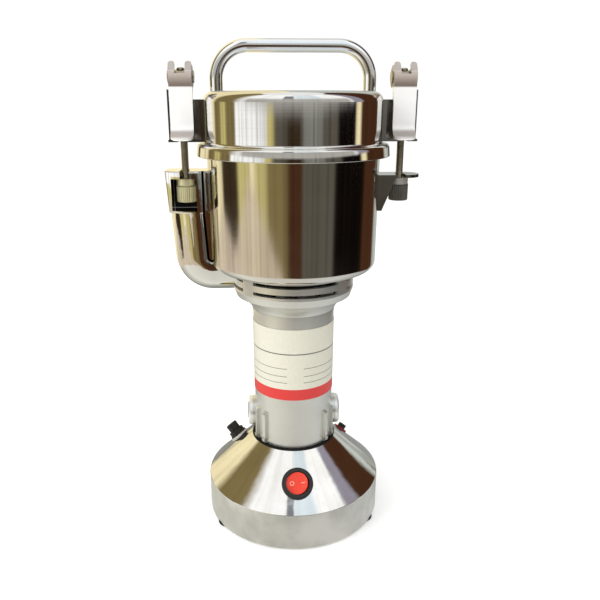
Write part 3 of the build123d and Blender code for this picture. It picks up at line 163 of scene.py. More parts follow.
# Base shell: one spun steel cone with an upright skirt, open below.
# The cone is polished to a mirror and the skirt is left with a satin turning grain.
SKIRT_TOP = 0.0278
cone_steel = Finish("spun_base_steel", Metallic=1.0)
height = cone_steel.place.axis("Z")
on_cone = height.step(SKIRT_TOP - 0.0006, SKIRT_TOP + 0.0004)
turning = cone_steel.place.noise((60, 60, 5200), detail=2)
smudge = cone_steel.place.noise((45, 45, 45), detail=5)
dents = cone_steel.place.noise((34, 34, 34), detail=3)
satin = smudge.step(0.3, 0.7).tint(shade(206, 207, 204), shade(236, 236, 233))
polish = smudge.step(0.25, 0.75).tint(shade(222, 221, 216), shade(238, 237, 235))
cone_steel.link("Base Color", on_cone.tint(satin, polish))
cone_steel.link("Roughness", on_cone * (0.05 + 0.06 * smudge) + (1 - on_cone) * (0.42 + 0.1 * smudge))
cone_steel.bump(turning * (1 - 0.85 * on_cone) + on_cone * dents * 11, 0.00003)
cone_steel.on("base_shell")

# Rocker switch, snapped into the front of the cone: a black moulded bezel
# and a red rocker on two pivots, with an O and an I printed in pale ink.
black_plastic = Finish("black_moulding")
spark = black_plastic.place.noise((1700, 1700, 1700), detail=3)
black_plastic.link("Base Color", spark.tint(shade(20, 20, 19), shade(40, 39, 37)))
black_plastic.link("Roughness", 0.3 + 0.25 * spark)
black_plastic.bump(spark, 0.00003)
black_plastic.on("switch_housing", "fuse_holder", "fuse_carrier", "fuse_cap", "reset_bush", "reset_button",
                 "cord_gland", "brush_caps", "brush_holders", "cooling_fan")

red_plastic = Finish("red_moulding", Coat_Weight=0.2, Coat_Roughness=0.12, IOR=1.45)
red_cloud = red_plastic.place.noise((300, 300, 300), detail=3)
ROCKER_PIVOT = Vector((0, -0.047624, 0.0424395))
ROCKER_RADIUS = 0.0077
ROCKER_FACE = 0.002
ROCKER_DEPTH = 0.003
ROCKER_BLANK = 0.0052
ROCKER_EDGE = 0.0005
DISH_RADIUS = 0.0249
CONE_SLOPE = radians(42.84)
ROCKER_TIP = radians(-11)
MARK_OFFSET = 0.0039
MARK_HALF = 0.0013
MARK_LINE = 0.00022
MARK_BLUR = 0.00005
across = red_plastic.place.axis("X")
along = (red_plastic.place.axis("Y") * cos(CONE_SLOPE) + red_plastic.place.axis("Z") * sin(CONE_SLOPE)
         - (ROCKER_PIVOT.y * cos(CONE_SLOPE) + ROCKER_PIVOT.z * sin(CONE_SLOPE)))
from_o = across + MARK_OFFSET
ring_mark = (from_o * from_o + along * along).maths("SQRT")
marks = (ring_mark.between(MARK_HALF - MARK_LINE, MARK_HALF + MARK_LINE, MARK_BLUR)
         + across.between(MARK_OFFSET - MARK_HALF, MARK_OFFSET + MARK_HALF, MARK_BLUR)
         * along.between(-MARK_LINE, MARK_LINE, MARK_BLUR))
red_body = red_cloud.tint(shade(206, 46, 24), shade(216, 58, 34))
red_plastic.link("Base Color", marks.tint(red_body, shade(226, 170, 150)))
red_plastic.link("Roughness", 0.2 + 0.12 * red_cloud)
red_plastic.bump(red_plastic.place.noise((1500, 1500, 1500)), 0.00001)


def trimmed(piece, cutter, operation="DIFFERENCE"):
    """Cuts the second mesh out of the first, or joins it on, and deletes it."""
    bpy.ops.object.select_all(action="DESELECT")
    bpy.context.view_layer.objects.active = piece
    piece.select_set(True)
    cut = piece.modifiers.new("cut", "BOOLEAN")
    cut.operation = operation
    cut.solver = "EXACT"
    cut.object = cutter
    bpy.ops.object.modifier_apply(modifier=cut.name)
    bpy.data.objects.remove(cutter)


def stand_for(piece, node, body, finish):
    """The piece takes the place of a CAD node, moves with its body and wears its finish."""
    piece.data.materials.clear()
    piece.data.materials.append(finish.material)
    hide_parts(node)
    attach(piece, body)


bpy.ops.object.select_all(action="DESELECT")
bpy.ops.mesh.primitive_cylinder_add(vertices=256, radius=DISH_RADIUS, depth=0.03, rotation=(pi / 2, 0, 0),
                                    location=(0, 0, ROCKER_FACE + DISH_RADIUS))
dish = bpy.context.object
bpy.ops.object.select_all(action="DESELECT")
bpy.ops.mesh.primitive_cylinder_add(vertices=96, radius=ROCKER_RADIUS, depth=ROCKER_BLANK,
                                    location=(0, 0, ROCKER_FACE - ROCKER_DEPTH + ROCKER_BLANK / 2))
rocker = bpy.context.object
rocker.name = "dished_rocker"
trimmed(rocker, dish)
soften = rocker.modifiers.new("soften", "BEVEL")
soften.width = ROCKER_EDGE
soften.segments = 4
soften.limit_method = "ANGLE"
soften.angle_limit = radians(40)
bpy.ops.object.modifier_apply(modifier=soften.name)
bpy.ops.object.transform_apply(location=True, rotation=True)
rocker.rotation_mode = "YXZ"
rocker.rotation_euler = (CONE_SLOPE, ROCKER_TIP, 0)
rocker.location = ROCKER_PIVOT
bpy.ops.object.transform_apply(location=True, rotation=True)
bpy.ops.object.shade_smooth_by_angle(angle=radians(35))
stand_for(rocker, "switch_rocker", "rocker", red_plastic)

# Fuse holder and reset button: a fluted black cap over a pale washer on the left,
# a small black button in a red collar on the right, both clamped from inside.
washer_paint = Finish("pale_washer")
washer_cloud = washer_paint.place.noise((700, 700, 700))
washer_paint.link("Base Color", washer_cloud.tint(shade(176, 174, 164), shade(206, 204, 194)))
washer_paint.link("Roughness", 0.4 + 0.2 * washer_cloud)
washer_paint.on("fuse_washer")

collar_red = Finish("dark_red_moulding")
collar_cloud = collar_red.place.noise((600, 600, 600), detail=3)
collar_red.link("Base Color", collar_cloud.tint(shade(112, 22, 16), shade(142, 32, 24)))
collar_red.link("Roughness", 0.3 + 0.15 * collar_cloud)
collar_red.on("reset_collar")

glass = Finish("fuse_glass", Transmission_Weight=1.0, IOR=1.5, Roughness=0.03)
glass_cloud = glass.place.noise((200, 200, 200))
glass.link("Base Color", glass_cloud.tint((0.86, 0.9, 0.9), (0.95, 0.97, 0.96)))
glass.on("fuse_tube")

# Motor column and end bell: aluminium castings with bosses for the brushes,
# ribs, and vent slots under the bowl, sprayed with satin silver lacquer.
silver = Finish("silver_lacquer", Coat_Weight=0.15, Coat_Roughness=0.3)
BOSS_START = 0.0302
BOSS_TOP = 0.1
VENT_START = 0.1745
VENT_DEPTH = 0.0025
bell_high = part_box("end_bell")[1]
vent_back = bell_high.x - VENT_DEPTH
column_x, column_y, column_z = (silver.place.axis(letter) for letter in "XYZ")
girth = (column_x * column_x + column_y * column_y).maths("SQRT")
below_top = 1 - column_z.step(BOSS_TOP, BOSS_TOP + 0.002)
# The faces of the brush bosses are painted near white and less metallic than the rest of the lacquer.
boss_faces = (column_x * column_x).step(BOSS_START ** 2, (BOSS_START + 0.0006) ** 2) * below_top
# Inside the vent slots the colour is painted near black and not metallic: painted shade in the slots.
vent = column_z.step(VENT_START, VENT_START + 0.0005) * (1 - girth.step(vent_back - 0.0003, vent_back))
fleck = silver.place.noise((3200, 3200, 3200), detail=2)
cast = silver.place.noise((70, 70, 70), detail=4)
sprayed = boss_faces.tint(cast.tint(shade(214, 215, 209), shade(230, 231, 226)), shade(240, 241, 239))
silver.link("Base Color", vent.tint(sprayed, shade(20, 17, 12)))
silver.link("Metallic", 0.88 - 0.2 * boss_faces - 0.88 * vent)
silver.link("Roughness", 0.27 + 0.1 * fleck)
silver.bump(fleck * 0.4 + cast, 0.00004)
silver.on("motor_column", "end_bell", "lower_bearing_bracket")

# Rating label: printed film wrapped round the column, ivory with plain ruled lines
# and a solid red stripe along its foot.
label = Finish("printed_film", Coat_Weight=0.3, Coat_Roughness=0.2)
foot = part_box("rating_label")[0].z
label_z = label.place.axis("Z")
turn = label.place.axis("X").maths("ARCTAN2", 0 - label.place.axis("Y"))
fibre = label.place.noise((500, 500, 500), detail=3)
RULE_HALF = 0.0002
LONG_RULE = foot + 0.0346
SHORT_RULES = (foot + 0.0238, foot + 0.018, foot + 0.0132)
STRIPE_TOP = foot + 0.0081
columns = turn.between(radians(-78), radians(-12), 0.004) + turn.between(radians(11), radians(78), 0.004)
rules = label_z.between(LONG_RULE - 2 * RULE_HALF, LONG_RULE + 2 * RULE_HALF, RULE_HALF / 3)
for rule in SHORT_RULES:
    rules = rules + columns * label_z.between(rule - RULE_HALF, rule + RULE_HALF, RULE_HALF / 3)
film = fibre.tint(shade(196, 193, 175), shade(208, 205, 189))
inked = (rules * turn.between(radians(-80), radians(80), 0.01)).tint(film, shade(92, 90, 86))
stripe = 1 - label_z.step(STRIPE_TOP, STRIPE_TOP + RULE_HALF)
label.link("Base Color", stripe.tint(inked, shade(200, 44, 40)))
label.link("Roughness", 0.32 + 0.12 * fibre)
label.on("rating_label")

# Motor inside the column: stacked laminations, enamelled copper windings,
# carbon brushes, ball bearings and the shaft that carries the blades.
lamination = Finish("stacked_sheet", Metallic=0.9)
SHEET_PITCH = 0.0006
sheets = (lamination.place.axis("Z") * (2 * pi / SHEET_PITCH)).maths("SINE")
lamination.link("Base Color", (0.5 + 0.5 * sheets).tint(shade(92, 92, 94), shade(150, 150, 152)))
lamination.link("Roughness", 0.5 + 0.1 * sheets)
lamination.bump(sheets, 0.00004)
lamination.on("stator_core", "armature_core")

copper = Finish("enamelled_copper", Metallic=0.9, Coat_Weight=0.5)
strands = copper.place.noise((250, 250, 2400), detail=3)
copper.link("Base Color", strands.tint(shade(150, 82, 42), shade(214, 140, 92)))
copper.link("Roughness", 0.25 + 0.2 * strands)
copper.bump(strands, 0.0001)
copper.on("field_coils", "armature_winding", "commutator", "brush_springs")

carbon = Finish("pressed_carbon")
soot = carbon.place.noise((1200, 1200, 1200), detail=4)
carbon.link("Base Color", soot.tint(shade(30, 30, 31), shade(62, 62, 63)))
carbon.link("Roughness", 0.6 + 0.2 * soot)
carbon.on("carbon_brushes")

ground_steel = Finish("ground_steel", Metallic=1.0)
scratch = ground_steel.place.noise((4200, 160, 160), detail=3)
ground_steel.link("Base Color", scratch.tint(shade(188, 189, 190), shade(222, 222, 223)))
ground_steel.link("Roughness", 0.22 + 0.2 * scratch)
ground_steel.bump(scratch, 0.00003)
ground_steel.on("blade_spacer", "grinding_blade", "upper_blade", "blade_nut", "lower_bearing", "upper_bearing")

# Column gasket: a black rubber ring with a rounded lip, pressed into the joint
# where the motor column stands in the top of the cone.
def traced(name, points):
    """Chain of edges through the given points, left open in edit mode."""
    bpy.ops.object.select_all(action="DESELECT")
    bpy.ops.mesh.primitive_plane_add(size=0.01)
    piece = bpy.context.object
    piece.name = name
    bpy.ops.object.mode_set(mode="EDIT")
    bpy.ops.mesh.select_all(action="SELECT")
    bpy.ops.mesh.merge(type="CENTER")
    bpy.ops.transform.translate(value=points[0])
    for start, end in zip(points, points[1:]):
        bpy.ops.mesh.extrude_region_move(TRANSFORM_OT_translate={"value": end - start})
    return piece


def spun(name, outline, rounds, steps=160):
    """Shell turned about Z from (radius, height) points, with a round on each corner that is given one."""
    points = [Vector((point_radius, 0, point_height)) for point_radius, point_height in outline]
    piece = traced(name, points)
    for index, radius in rounds.items():
        corner, before, after = (points[i] for i in (index, index - 1, index + 1))
        opening = (before - corner).angle(after - corner)
        bpy.ops.mesh.select_all(action="DESELECT")
        bpy.ops.object.mode_set(mode="OBJECT")
        nearest = min(piece.data.vertices, key=lambda v: (v.co - corner).length)
        nearest.select = True
        bpy.ops.object.mode_set(mode="EDIT")
        bpy.ops.mesh.bevel(offset=radius / tan(opening / 2), segments=8, affect="VERTICES", clamp_overlap=False)
    bpy.ops.mesh.select_all(action="SELECT")
    bpy.ops.mesh.spin(steps=steps, angle=2 * pi, center=(0, 0, 0), axis=(0, 0, 1))
    bpy.ops.mesh.select_all(action="SELECT")
    bpy.ops.mesh.remove_doubles(threshold=1e-6)
    bpy.ops.mesh.normals_make_consistent(inside=False)
    bpy.ops.object.mode_set(mode="OBJECT")
    bpy.ops.object.shade_smooth_by_angle(angle=radians(28))
    return piece


GASKET_INNER = 0.02805
GASKET_LIP = 0.0008
gasket_low, gasket_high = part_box("column_gasket")
gasket_outer = gasket_high.x
gasket_top = gasket_high.z + GASKET_LIP
gasket = spun("rubber_ring", [
    (GASKET_INNER, gasket_low.z), (gasket_outer, gasket_low.z), (gasket_outer, gasket_top),
    (GASKET_INNER, gasket_top), (GASKET_INNER, gasket_low.z)], {2: 0.001, 3: 0.0004})
stand_for(gasket, "column_gasket", "root", rubber)

# Bowl: drawn stainless steel, turned outwards at the rim and rounded into its floor,
# polished on a lathe so that a fine grain runs round it.
polished_steel = Finish("lathe_polished_steel", Metallic=1.0)
round_grain = polished_steel.place.noise((14, 14, 3600), detail=2)
wipe = polished_steel.place.noise((30, 30, 60), detail=5)
polished_steel.link("Base Color", wipe.tint(shade(222, 220, 214), shade(234, 233, 229)))
polished_steel.link("Roughness", 0.07 + 0.07 * wipe)
polished_steel.bump(round_grain, 0.000006)

BOWL_WALL = 0.0015
BOWL_FLOOR_RADIUS = 0.0563
BOWL_RADIUS = 0.057
BOWL_CORNER = 0.006
SEAL_HOLE = 0.009
bowl_low, bowl_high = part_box("bowl")
rim = bowl_high.x
bowl = spun("steel_bowl", [
    (SEAL_HOLE, bowl_low.z), (BOWL_FLOOR_RADIUS, bowl_low.z), (BOWL_RADIUS, bowl_high.z - BOWL_WALL),
    (rim, bowl_high.z - BOWL_WALL), (rim, bowl_high.z), (BOWL_RADIUS - BOWL_WALL, bowl_high.z),
    (BOWL_FLOOR_RADIUS - BOWL_WALL, bowl_low.z + BOWL_WALL), (SEAL_HOLE, bowl_low.z + BOWL_WALL),
    (SEAL_HOLE, bowl_low.z)],
    {1: BOWL_CORNER, 2: 0.001, 5: 0.0012, 6: BOWL_CORNER - BOWL_WALL})
stand_for(bowl, "bowl", "root", polished_steel)

# Carry handle: round steel bar, bent and then chrome plated,
# screwed to the lid's top from inside.
chrome = Finish("chrome_plate", Metallic=1.0)
ripple = chrome.place.noise((60, 60, 60), detail=3)
chrome.link("Base Color", ripple.tint(shade(236, 236, 236), shade(244, 244, 243)))
chrome.link("Roughness", 0.08 + 0.06 * ripple)
chrome.bump(ripple, 0.00006)
chrome.on("carry_handle")

# Side arm: a chrome-plated casting on the bowl's left side. Its head has a window for the thumb nut,
# and a crowned bar with a groove along its inner edge curls in from there under the bowl.
def polygon(name, corners):
    """Flat face through the given points, left open in edit mode."""
    piece = traced(name, corners)
    bpy.ops.mesh.select_all(action="SELECT")
    bpy.ops.mesh.edge_face_add()
    return piece


def block(low, high):
    """Box between two corners, to be cut out or joined on."""
    bpy.ops.object.select_all(action="DESELECT")
    bpy.ops.mesh.primitive_cube_add(size=1, location=(Vector(low) + Vector(high)) / 2,
                                    scale=Vector(high) - Vector(low))
    return bpy.context.object


ARM_REACH = 0.0848
ARM_LEAN = 0.0048
ARM_ELBOW = 0.026
ARM_HEAD_BOTTOM = 0.2261
ARM_CROWN = 0.018
ARM_ROUNDNESS = 29
ARM_SIDE_ROUND = 0.01697
ARM_BACK_ROUND = 0.0037
ARM_INNER_EDGE = 0.0258
GROOVE_START = 0.0227
GROOVE_WIDTH = 0.0014
GROOVE_DEPTH = 0.002
GROOVE_SLANT = 0.0002
STRIP_STEP = 0.0007
HEAD_ROUNDNESS = 16
HEAD_EDGE = 0.001
HEAD_STRIPS = 16
WEB_X = -0.0588
ROD_X = -0.0715
SLOT_HALF = 0.003
WINDOW_LEFT = -0.0808
WINDOW_RIGHT = -0.064
WINDOW_BOTTOM = 0.2277
WINDOW_TOP = 0.2487
WINDOW_BACK = 0.008
OVERLAP = 0.001
MESH_SLIVER = 0.00002
arm_low, arm_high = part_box("side_arm")
fall = Vector((ARM_LEAN, 0, arm_low.z - arm_high.z)).normalized()
inward = Vector((-fall.z, 0, fall.x))
shoulder = Vector((-ARM_REACH, 0, arm_high.z))
head_foot = shoulder + fall * ((ARM_HEAD_BOTTOM - arm_high.z) / fall.z)
bar_start = head_foot - fall * OVERLAP
bend = shoulder + fall * ((arm_low.z + ARM_ELBOW * (1 - fall.x) - arm_high.z) / fall.z)
elbow = bend + inward * ARM_ELBOW
side_arc = [radians(degree) for degree in range(0, 64, 7)]
front_steps = [step / 1000 + 0.0095 for step in range(14)]
back_arc = [radians(degree) for degree in range(0, 76, 15)]
groove_end = GROOVE_START + GROOVE_WIDTH
groove_floor = arm_low.y + GROOVE_DEPTH
strip_y = arm_low.y + STRIP_STEP
profile = [(ARM_SIDE_ROUND * (1 - cos(angle)), arm_high.y - ARM_BACK_ROUND - ARM_SIDE_ROUND * sin(angle))
           for angle in side_arc]
profile += [(depth, arm_low.y + ARM_ROUNDNESS * (depth - ARM_CROWN) ** 2) for depth in front_steps]
profile += [(GROOVE_START + GROOVE_SLANT, groove_floor), (groove_end - GROOVE_SLANT, groove_floor),
            (groove_end, strip_y), (ARM_INNER_EDGE, strip_y), (ARM_INNER_EDGE, arm_high.y)]
profile += [(ARM_BACK_ROUND * (1 - sin(angle)), arm_high.y - ARM_BACK_ROUND * (1 - cos(angle)))
            for angle in back_arc]
arm = polygon("crowned_arm", [bar_start + inward * depth + Vector((0, side, 0)) for depth, side in profile])
bpy.ops.mesh.extrude_region_move(TRANSFORM_OT_translate={"value": bend - bar_start})
bpy.ops.mesh.spin(steps=36, angle=fall.angle(Vector((1, 0, 0))), center=elbow, axis=(0, 1, 0))
bpy.ops.mesh.extrude_region_move(TRANSFORM_OT_translate={"value": (-bell_high.x + 0.004 - elbow.x, 0, 0)})
bpy.ops.mesh.select_all(action="SELECT")
bpy.ops.mesh.normals_make_consistent(inside=False)
bpy.ops.object.mode_set(mode="OBJECT")
head_inner = BOWL_FLOOR_RADIUS - 0.004
head_depth = ARM_REACH - head_inner
head_steps = [strip * head_depth / HEAD_STRIPS for strip in range(HEAD_STRIPS + 1)]
head_profile = [(depth, arm_low.y + HEAD_ROUNDNESS * (depth - ARM_CROWN) ** 2) for depth in head_steps]
head_profile += [(head_depth, arm_high.y), (0, arm_high.y)]
arm_head = polygon("arm_head", [shoulder + Vector((depth, side, 0)) for depth, side in head_profile])
bpy.ops.mesh.extrude_region_move(TRANSFORM_OT_translate={"value": head_foot - shoulder})
bpy.ops.mesh.select_all(action="SELECT")
bpy.ops.mesh.normals_make_consistent(inside=False)
bpy.ops.mesh.select_all(action="DESELECT")
bpy.ops.mesh.edges_select_sharp(sharpness=radians(40))
bpy.ops.mesh.bevel(offset=HEAD_EDGE, segments=4, affect="EDGES")
bpy.ops.object.mode_set(mode="OBJECT")
trimmed(arm, arm_head, "UNION")
trimmed(arm, block((WEB_X, strip_y + 0.0002, elbow.z + 0.0003),
                   (-head_inner, arm_high.y - 0.0005, ARM_HEAD_BOTTOM + OVERLAP)), "UNION")
groove_x = head_foot.x + GROOVE_START + GROOVE_SLANT / 2
trimmed(arm, block((groove_x, arm_low.y - OVERLAP, ARM_HEAD_BOTTOM - 2 * OVERLAP),
                   (groove_x + GROOVE_WIDTH - GROOVE_SLANT, groove_floor, arm_high.z + OVERLAP)))
trimmed(arm, spun("bowl_form", [
    (0, bowl_low.z), (BOWL_FLOOR_RADIUS, bowl_low.z), (BOWL_RADIUS, bowl_high.z), (0, bowl_high.z)],
    {1: BOWL_CORNER}))
bpy.ops.object.select_all(action="DESELECT")
bpy.ops.mesh.primitive_cylinder_add(vertices=160, radius=bell_high.x, depth=0.06,
                                    location=(0, 0, bowl_low.z - 0.0295))
trimmed(arm, bpy.context.object)
trimmed(arm, block((WINDOW_LEFT, arm_low.y - OVERLAP, WINDOW_BOTTOM), (WINDOW_RIGHT, WINDOW_BACK, WINDOW_TOP)))
trimmed(arm, block((ROD_X - SLOT_HALF, arm_low.y - OVERLAP, WINDOW_TOP - OVERLAP),
                   (ROD_X + SLOT_HALF, 0, arm_high.z + OVERLAP)))
bpy.ops.object.select_all(action="DESELECT")
bpy.ops.mesh.primitive_cylinder_add(vertices=64, radius=SLOT_HALF, depth=0.02,
                                    location=(ROD_X, 0, WINDOW_TOP + 0.01 - OVERLAP))
trimmed(arm, bpy.context.object)
bpy.ops.object.mode_set(mode="EDIT")
bpy.ops.mesh.select_all(action="SELECT")
bpy.ops.mesh.remove_doubles(threshold=MESH_SLIVER)
bpy.ops.mesh.dissolve_degenerate(threshold=MESH_SLIVER)
bpy.ops.mesh.select_all(action="SELECT")
bpy.ops.mesh.fill_holes(sides=6)
bpy.ops.object.mode_set(mode="OBJECT")
bpy.ops.object.shade_smooth_by_angle(angle=radians(28))

arm_chrome = Finish("cast_chrome")
arm_x, arm_y, arm_z = (arm_chrome.place.axis(letter) for letter in "XYZ")
BLUR = 0.0001
# The inside faces of the head's window are painted black, matte and not metallic: painted shade in the window.
window_shade = (arm_x.between(WINDOW_LEFT + BLUR, WINDOW_RIGHT - BLUR, BLUR)
          * arm_z.between(WINDOW_BOTTOM + BLUR, WINDOW_TOP - BLUR, BLUR)
          * arm_y.between(arm_low.y + 0.001, WINDOW_BACK + 0.0003, 2 * BLUR))
in_head = arm_z.step(ARM_HEAD_BOTTOM - BLUR, ARM_HEAD_BOTTOM)
in_elbow = 1 - arm_z.step(elbow.z - BLUR, elbow.z)
from_edge = arm_x - shoulder.x + (arm_high.z - arm_z) * (fall.x / fall.z)
from_elbow = (arm_x - elbow.x) * (arm_x - elbow.x) + (arm_z - elbow.z) * (arm_z - elbow.z)
head_groove = arm_x.between(groove_x - BLUR, groove_x + GROOVE_WIDTH, BLUR)
bar_groove = from_edge.between(GROOVE_START - BLUR, groove_end, BLUR)
elbow_groove = from_elbow.between((ARM_ELBOW - groove_end) ** 2, (ARM_ELBOW - GROOVE_START) ** 2, 0.0000003)
# The floor of the groove along head, bar and elbow is painted near black: painted shade in the groove.
groove_shade = ((in_head * head_groove + in_elbow * elbow_groove + (1 - in_head) * (1 - in_elbow) * bar_groove)
         * (1 - arm_y.step(arm_low.y + 0.004, arm_low.y + 0.005)))
swell = arm_chrome.place.noise((70, 70, 70), detail=2)
arm_chrome.link("Base Color", (window_shade + groove_shade).tint(swell.tint(shade(226, 225, 220), shade(244, 244, 243)),
                                                    shade(14, 11, 9)))
arm_chrome.link("Metallic", 1 - window_shade)
arm_chrome.link("Roughness", 0.03 + 0.05 * swell + 0.6 * window_shade)
arm_chrome.bump(swell, 0.0003)
stand_for(arm, "side_arm", "root", arm_chrome)

# Draw rods, cross pins and motor shaft: bright drawn steel bar, each rod domed at its top
# and threaded below the dome for its thumb nut, with the turns of the thread shown as rings.
bar_steel = Finish("drawn_bar_steel", Metallic=1.0)
oil = bar_steel.place.noise((260, 260, 260), detail=4)
drawn = bar_steel.place.noise((2600, 2600, 120), detail=2)
bar_steel.link("Base Color", oil.tint(shade(150, 141, 122), shade(188, 180, 160)))
bar_steel.link("Roughness", 0.2 + 0.2 * oil)
bar_steel.bump(drawn, 0.00001)
bar_steel.on("trunnion_pin_left", "trunnion_pin_right", "motor_shaft")

PITCH = 0.0008
THREAD_DEPTH = 0.0003
ROD_DOME = 0.002
ROD_STEPS = 40
for side in ("left", "right"):
    rod_low, rod_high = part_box("draw_rod_" + side)
    crest = (rod_high.x - rod_low.x) / 2
    root = crest - THREAD_DEPTH
    turns = int((rod_high.z - rod_low.z - ROD_DOME) / PITCH)
    outline = [(0, rod_low.z), (root, rod_low.z)]
    for count in range(turns):
        outline += [(crest, rod_low.z + (count + 0.5) * PITCH), (root, rod_low.z + (count + 1) * PITCH)]
    outline[-1] = (crest, rod_low.z + turns * PITCH)
    outline += [(crest, rod_high.z), (0, rod_high.z)]
    rod = spun("threaded_rod_" + side, outline, {len(outline) - 2: ROD_DOME - PITCH}, ROD_STEPS)
    bpy.ops.object.mode_set(mode="EDIT")
    bpy.ops.mesh.select_all(action="SELECT")
    bpy.ops.transform.translate(value=((rod_low.x + rod_high.x) / 2, (rod_low.y + rod_high.y) / 2, 0))
    bpy.ops.object.mode_set(mode="OBJECT")
    stand_for(rod, "draw_rod_" + side, "root", bar_steel)

# Thumb nuts: turned and knurled steel with a plain collar above a groove, zinc plated,
# the left one bright yellow and the right one painted dull grey as painted shade, its collar lighter.
nut_plate = Finish("yellow_zinc", Metallic=0.7)
nut_cloud = nut_plate.place.noise((260, 260, 260), detail=4)
NUT_NECK = 0.2437
# The right nut, on the positive x side, is painted grey instead of yellow: painted shade.
right_nut_shade = nut_plate.place.axis("X").step(-0.01, 0.01)
nut_z = nut_plate.place.axis("Z")
collar = nut_z.step(NUT_NECK, NUT_NECK + 0.0003)
# The groove is painted dark on both nuts: painted shade in the recess.
groove = nut_z.between(NUT_NECK - 0.0004, NUT_NECK, 0.0001)
bright_zinc = nut_cloud.tint(shade(212, 206, 162), shade(236, 230, 194))
shaded_zinc = nut_cloud.tint(shade(100, 97, 90), shade(132, 129, 121))
shaded_right_zinc = collar.tint(shaded_zinc, shade(196, 193, 184))
nut_plate.link("Base Color", groove.tint(right_nut_shade.tint(bright_zinc, shaded_right_zinc), shade(60, 57, 48)))
nut_plate.link("Roughness", 0.3 + 0.2 * nut_cloud)
nut_plate.bump(nut_plate.place.noise((2400, 2400, 900)), 0.00002)
nut_plate.on("thumb_nut_left", "thumb_nut_right")

# Lid: drawn stainless steel like the bowl, with a lip that is flared to fit over its rim,
# and a soft sealing ring inside.
silicone = Finish("silicone_ring", Subsurface_Weight=0.15)
milk = silicone.place.noise((220, 220, 220))
silicone.link("Base Color", milk.tint(shade(222, 220, 212), shade(236, 234, 228)))
silicone.link("Roughness", 0.45 + 0.15 * milk)
silicone.on("lid_gasket")

lid_steel = Finish("polished_lid_steel", Metallic=1.0)
lid_grain = lid_steel.place.noise((10, 10, 2600), detail=2)
lid_wipe = lid_steel.place.noise((24, 24, 60), detail=4)
lid_steel.link("Base Color", (0.5 * lid_wipe + 0.5 * lid_grain).tint(shade(206, 204, 199), shade(240, 239, 236)))
lid_steel.link("Roughness", 0.03 + 0.06 * lid_wipe)
lid_steel.bump(lid_grain, 0.000003)

LID_WALL = 0.0013
LID_RADIUS = 0.058
LIP_TOP = 0.2712
LIP_FLARE = 0.0008
lid_low, lid_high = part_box("lid_shell")
lip = lid_high.x
lid = spun("steel_lid", [
    (0, lid_high.z), (LID_RADIUS, lid_high.z), (LID_RADIUS, LIP_TOP), (lip - LIP_FLARE, LIP_TOP),
    (lip, lid_low.z), (lip - LID_WALL, lid_low.z), (lip - LID_WALL - LIP_FLARE, LIP_TOP - LID_WALL),
    (LID_RADIUS - LID_WALL, LIP_TOP - LID_WALL), (LID_RADIUS - LID_WALL, lid_high.z - LID_WALL),
    (0, lid_high.z - LID_WALL)],
    {1: 0.0065, 2: 0.0016, 3: 0.0022, 4: 0.0005, 7: 0.0006, 8: 0.0052})
stand_for(lid, "lid_shell", "lid", lid_steel)

# Latches: brackets, levers and the right-hand plate, all bent from steel sheet
# with a satin finish, and riveted or spot-welded.
sheet_steel = Finish("satin_sheet_steel", Metallic=1.0)
brushed = sheet_steel.place.noise((3800, 3800, 130), detail=3)
handled = sheet_steel.place.noise((80, 80, 80), detail=4)
sheet_steel.link("Base Color", handled.tint(shade(150, 147, 142), shade(190, 187, 182)))
sheet_steel.link("Roughness", 0.1 + 0.08 * handled + 0.05 * brushed)
sheet_steel.bump(brushed, 0.000015)
sheet_steel.on("lid_bracket_left", "lid_bracket_right", "bowl_bracket")

lever_plate = Finish("dull_nickel_plate")
lever_low, lever_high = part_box("latch_lever_left")
PRONG_FOOT = lever_high.z - 0.0062
BEND_FOOT = lever_high.z - 0.016
lever_z = lever_plate.place.axis("Z")
prong = lever_z.step(PRONG_FOOT, PRONG_FOOT + 0.0008)
band = lever_z.step(BEND_FOOT, BEND_FOOT + 0.0012) * (1 - prong)
tab = lever_z.between(lever_low.z + 0.0016, lever_low.z + 0.0062, 0.0014)
lever_grain = lever_plate.place.noise((3800, 3800, 130), detail=3)
rubbed = lever_plate.place.noise((110, 110, 110), detail=4)
bright_nickel = rubbed.tint(shade(240, 239, 236), shade(250, 249, 248))
# The upper band and, more faintly, the bottom tab are painted darker as painted shade where the sheet bends
# away, the band darkest at its foot.
painted_bend_shade = lever_z.step(BEND_FOOT + 0.001, BEND_FOOT + 0.008).tint(shade(122, 108, 98), shade(176, 164, 155))
curled = (band + 0.75 * tab).tint(bright_nickel, painted_bend_shade)
# The prongs are painted mid grey and a little more metallic than the near white plate: a painted reflection of
# darker surroundings.
lever_plate.link("Base Color", prong.tint(curled, rubbed.tint(shade(150, 142, 136), shade(182, 175, 169))))
lever_plate.link("Metallic", 0.2 + 0.1 * prong)
lever_plate.link("Roughness", 0.32 + 0.12 * rubbed)
lever_plate.bump(lever_grain, 0.000015)
lever_plate.on("latch_lever_left", "latch_lever_right")

# Studio: a pale floor, a white sky and two soft lamps. The near floor and the ring of warm, grey
# and black cards are seen by glossy surfaces alone.
bpy.ops.object.select_all(action="DESELECT")
bpy.ops.mesh.primitive_plane_add(size=12)
floor = bpy.context.object
floor.name = "floor"
floor_paint = Finish("floor_paint", Roughness=0.9, Emission_Color=(1, 1, 1, 1), Emission_Strength=0.16)
floor_paint.link("Base Color", floor_paint.place.noise((3, 3, 3)).tint((0.84, 0.84, 0.84), (0.87, 0.87, 0.87)))
floor.data.materials.append(floor_paint.material)
floor.visible_glossy = False

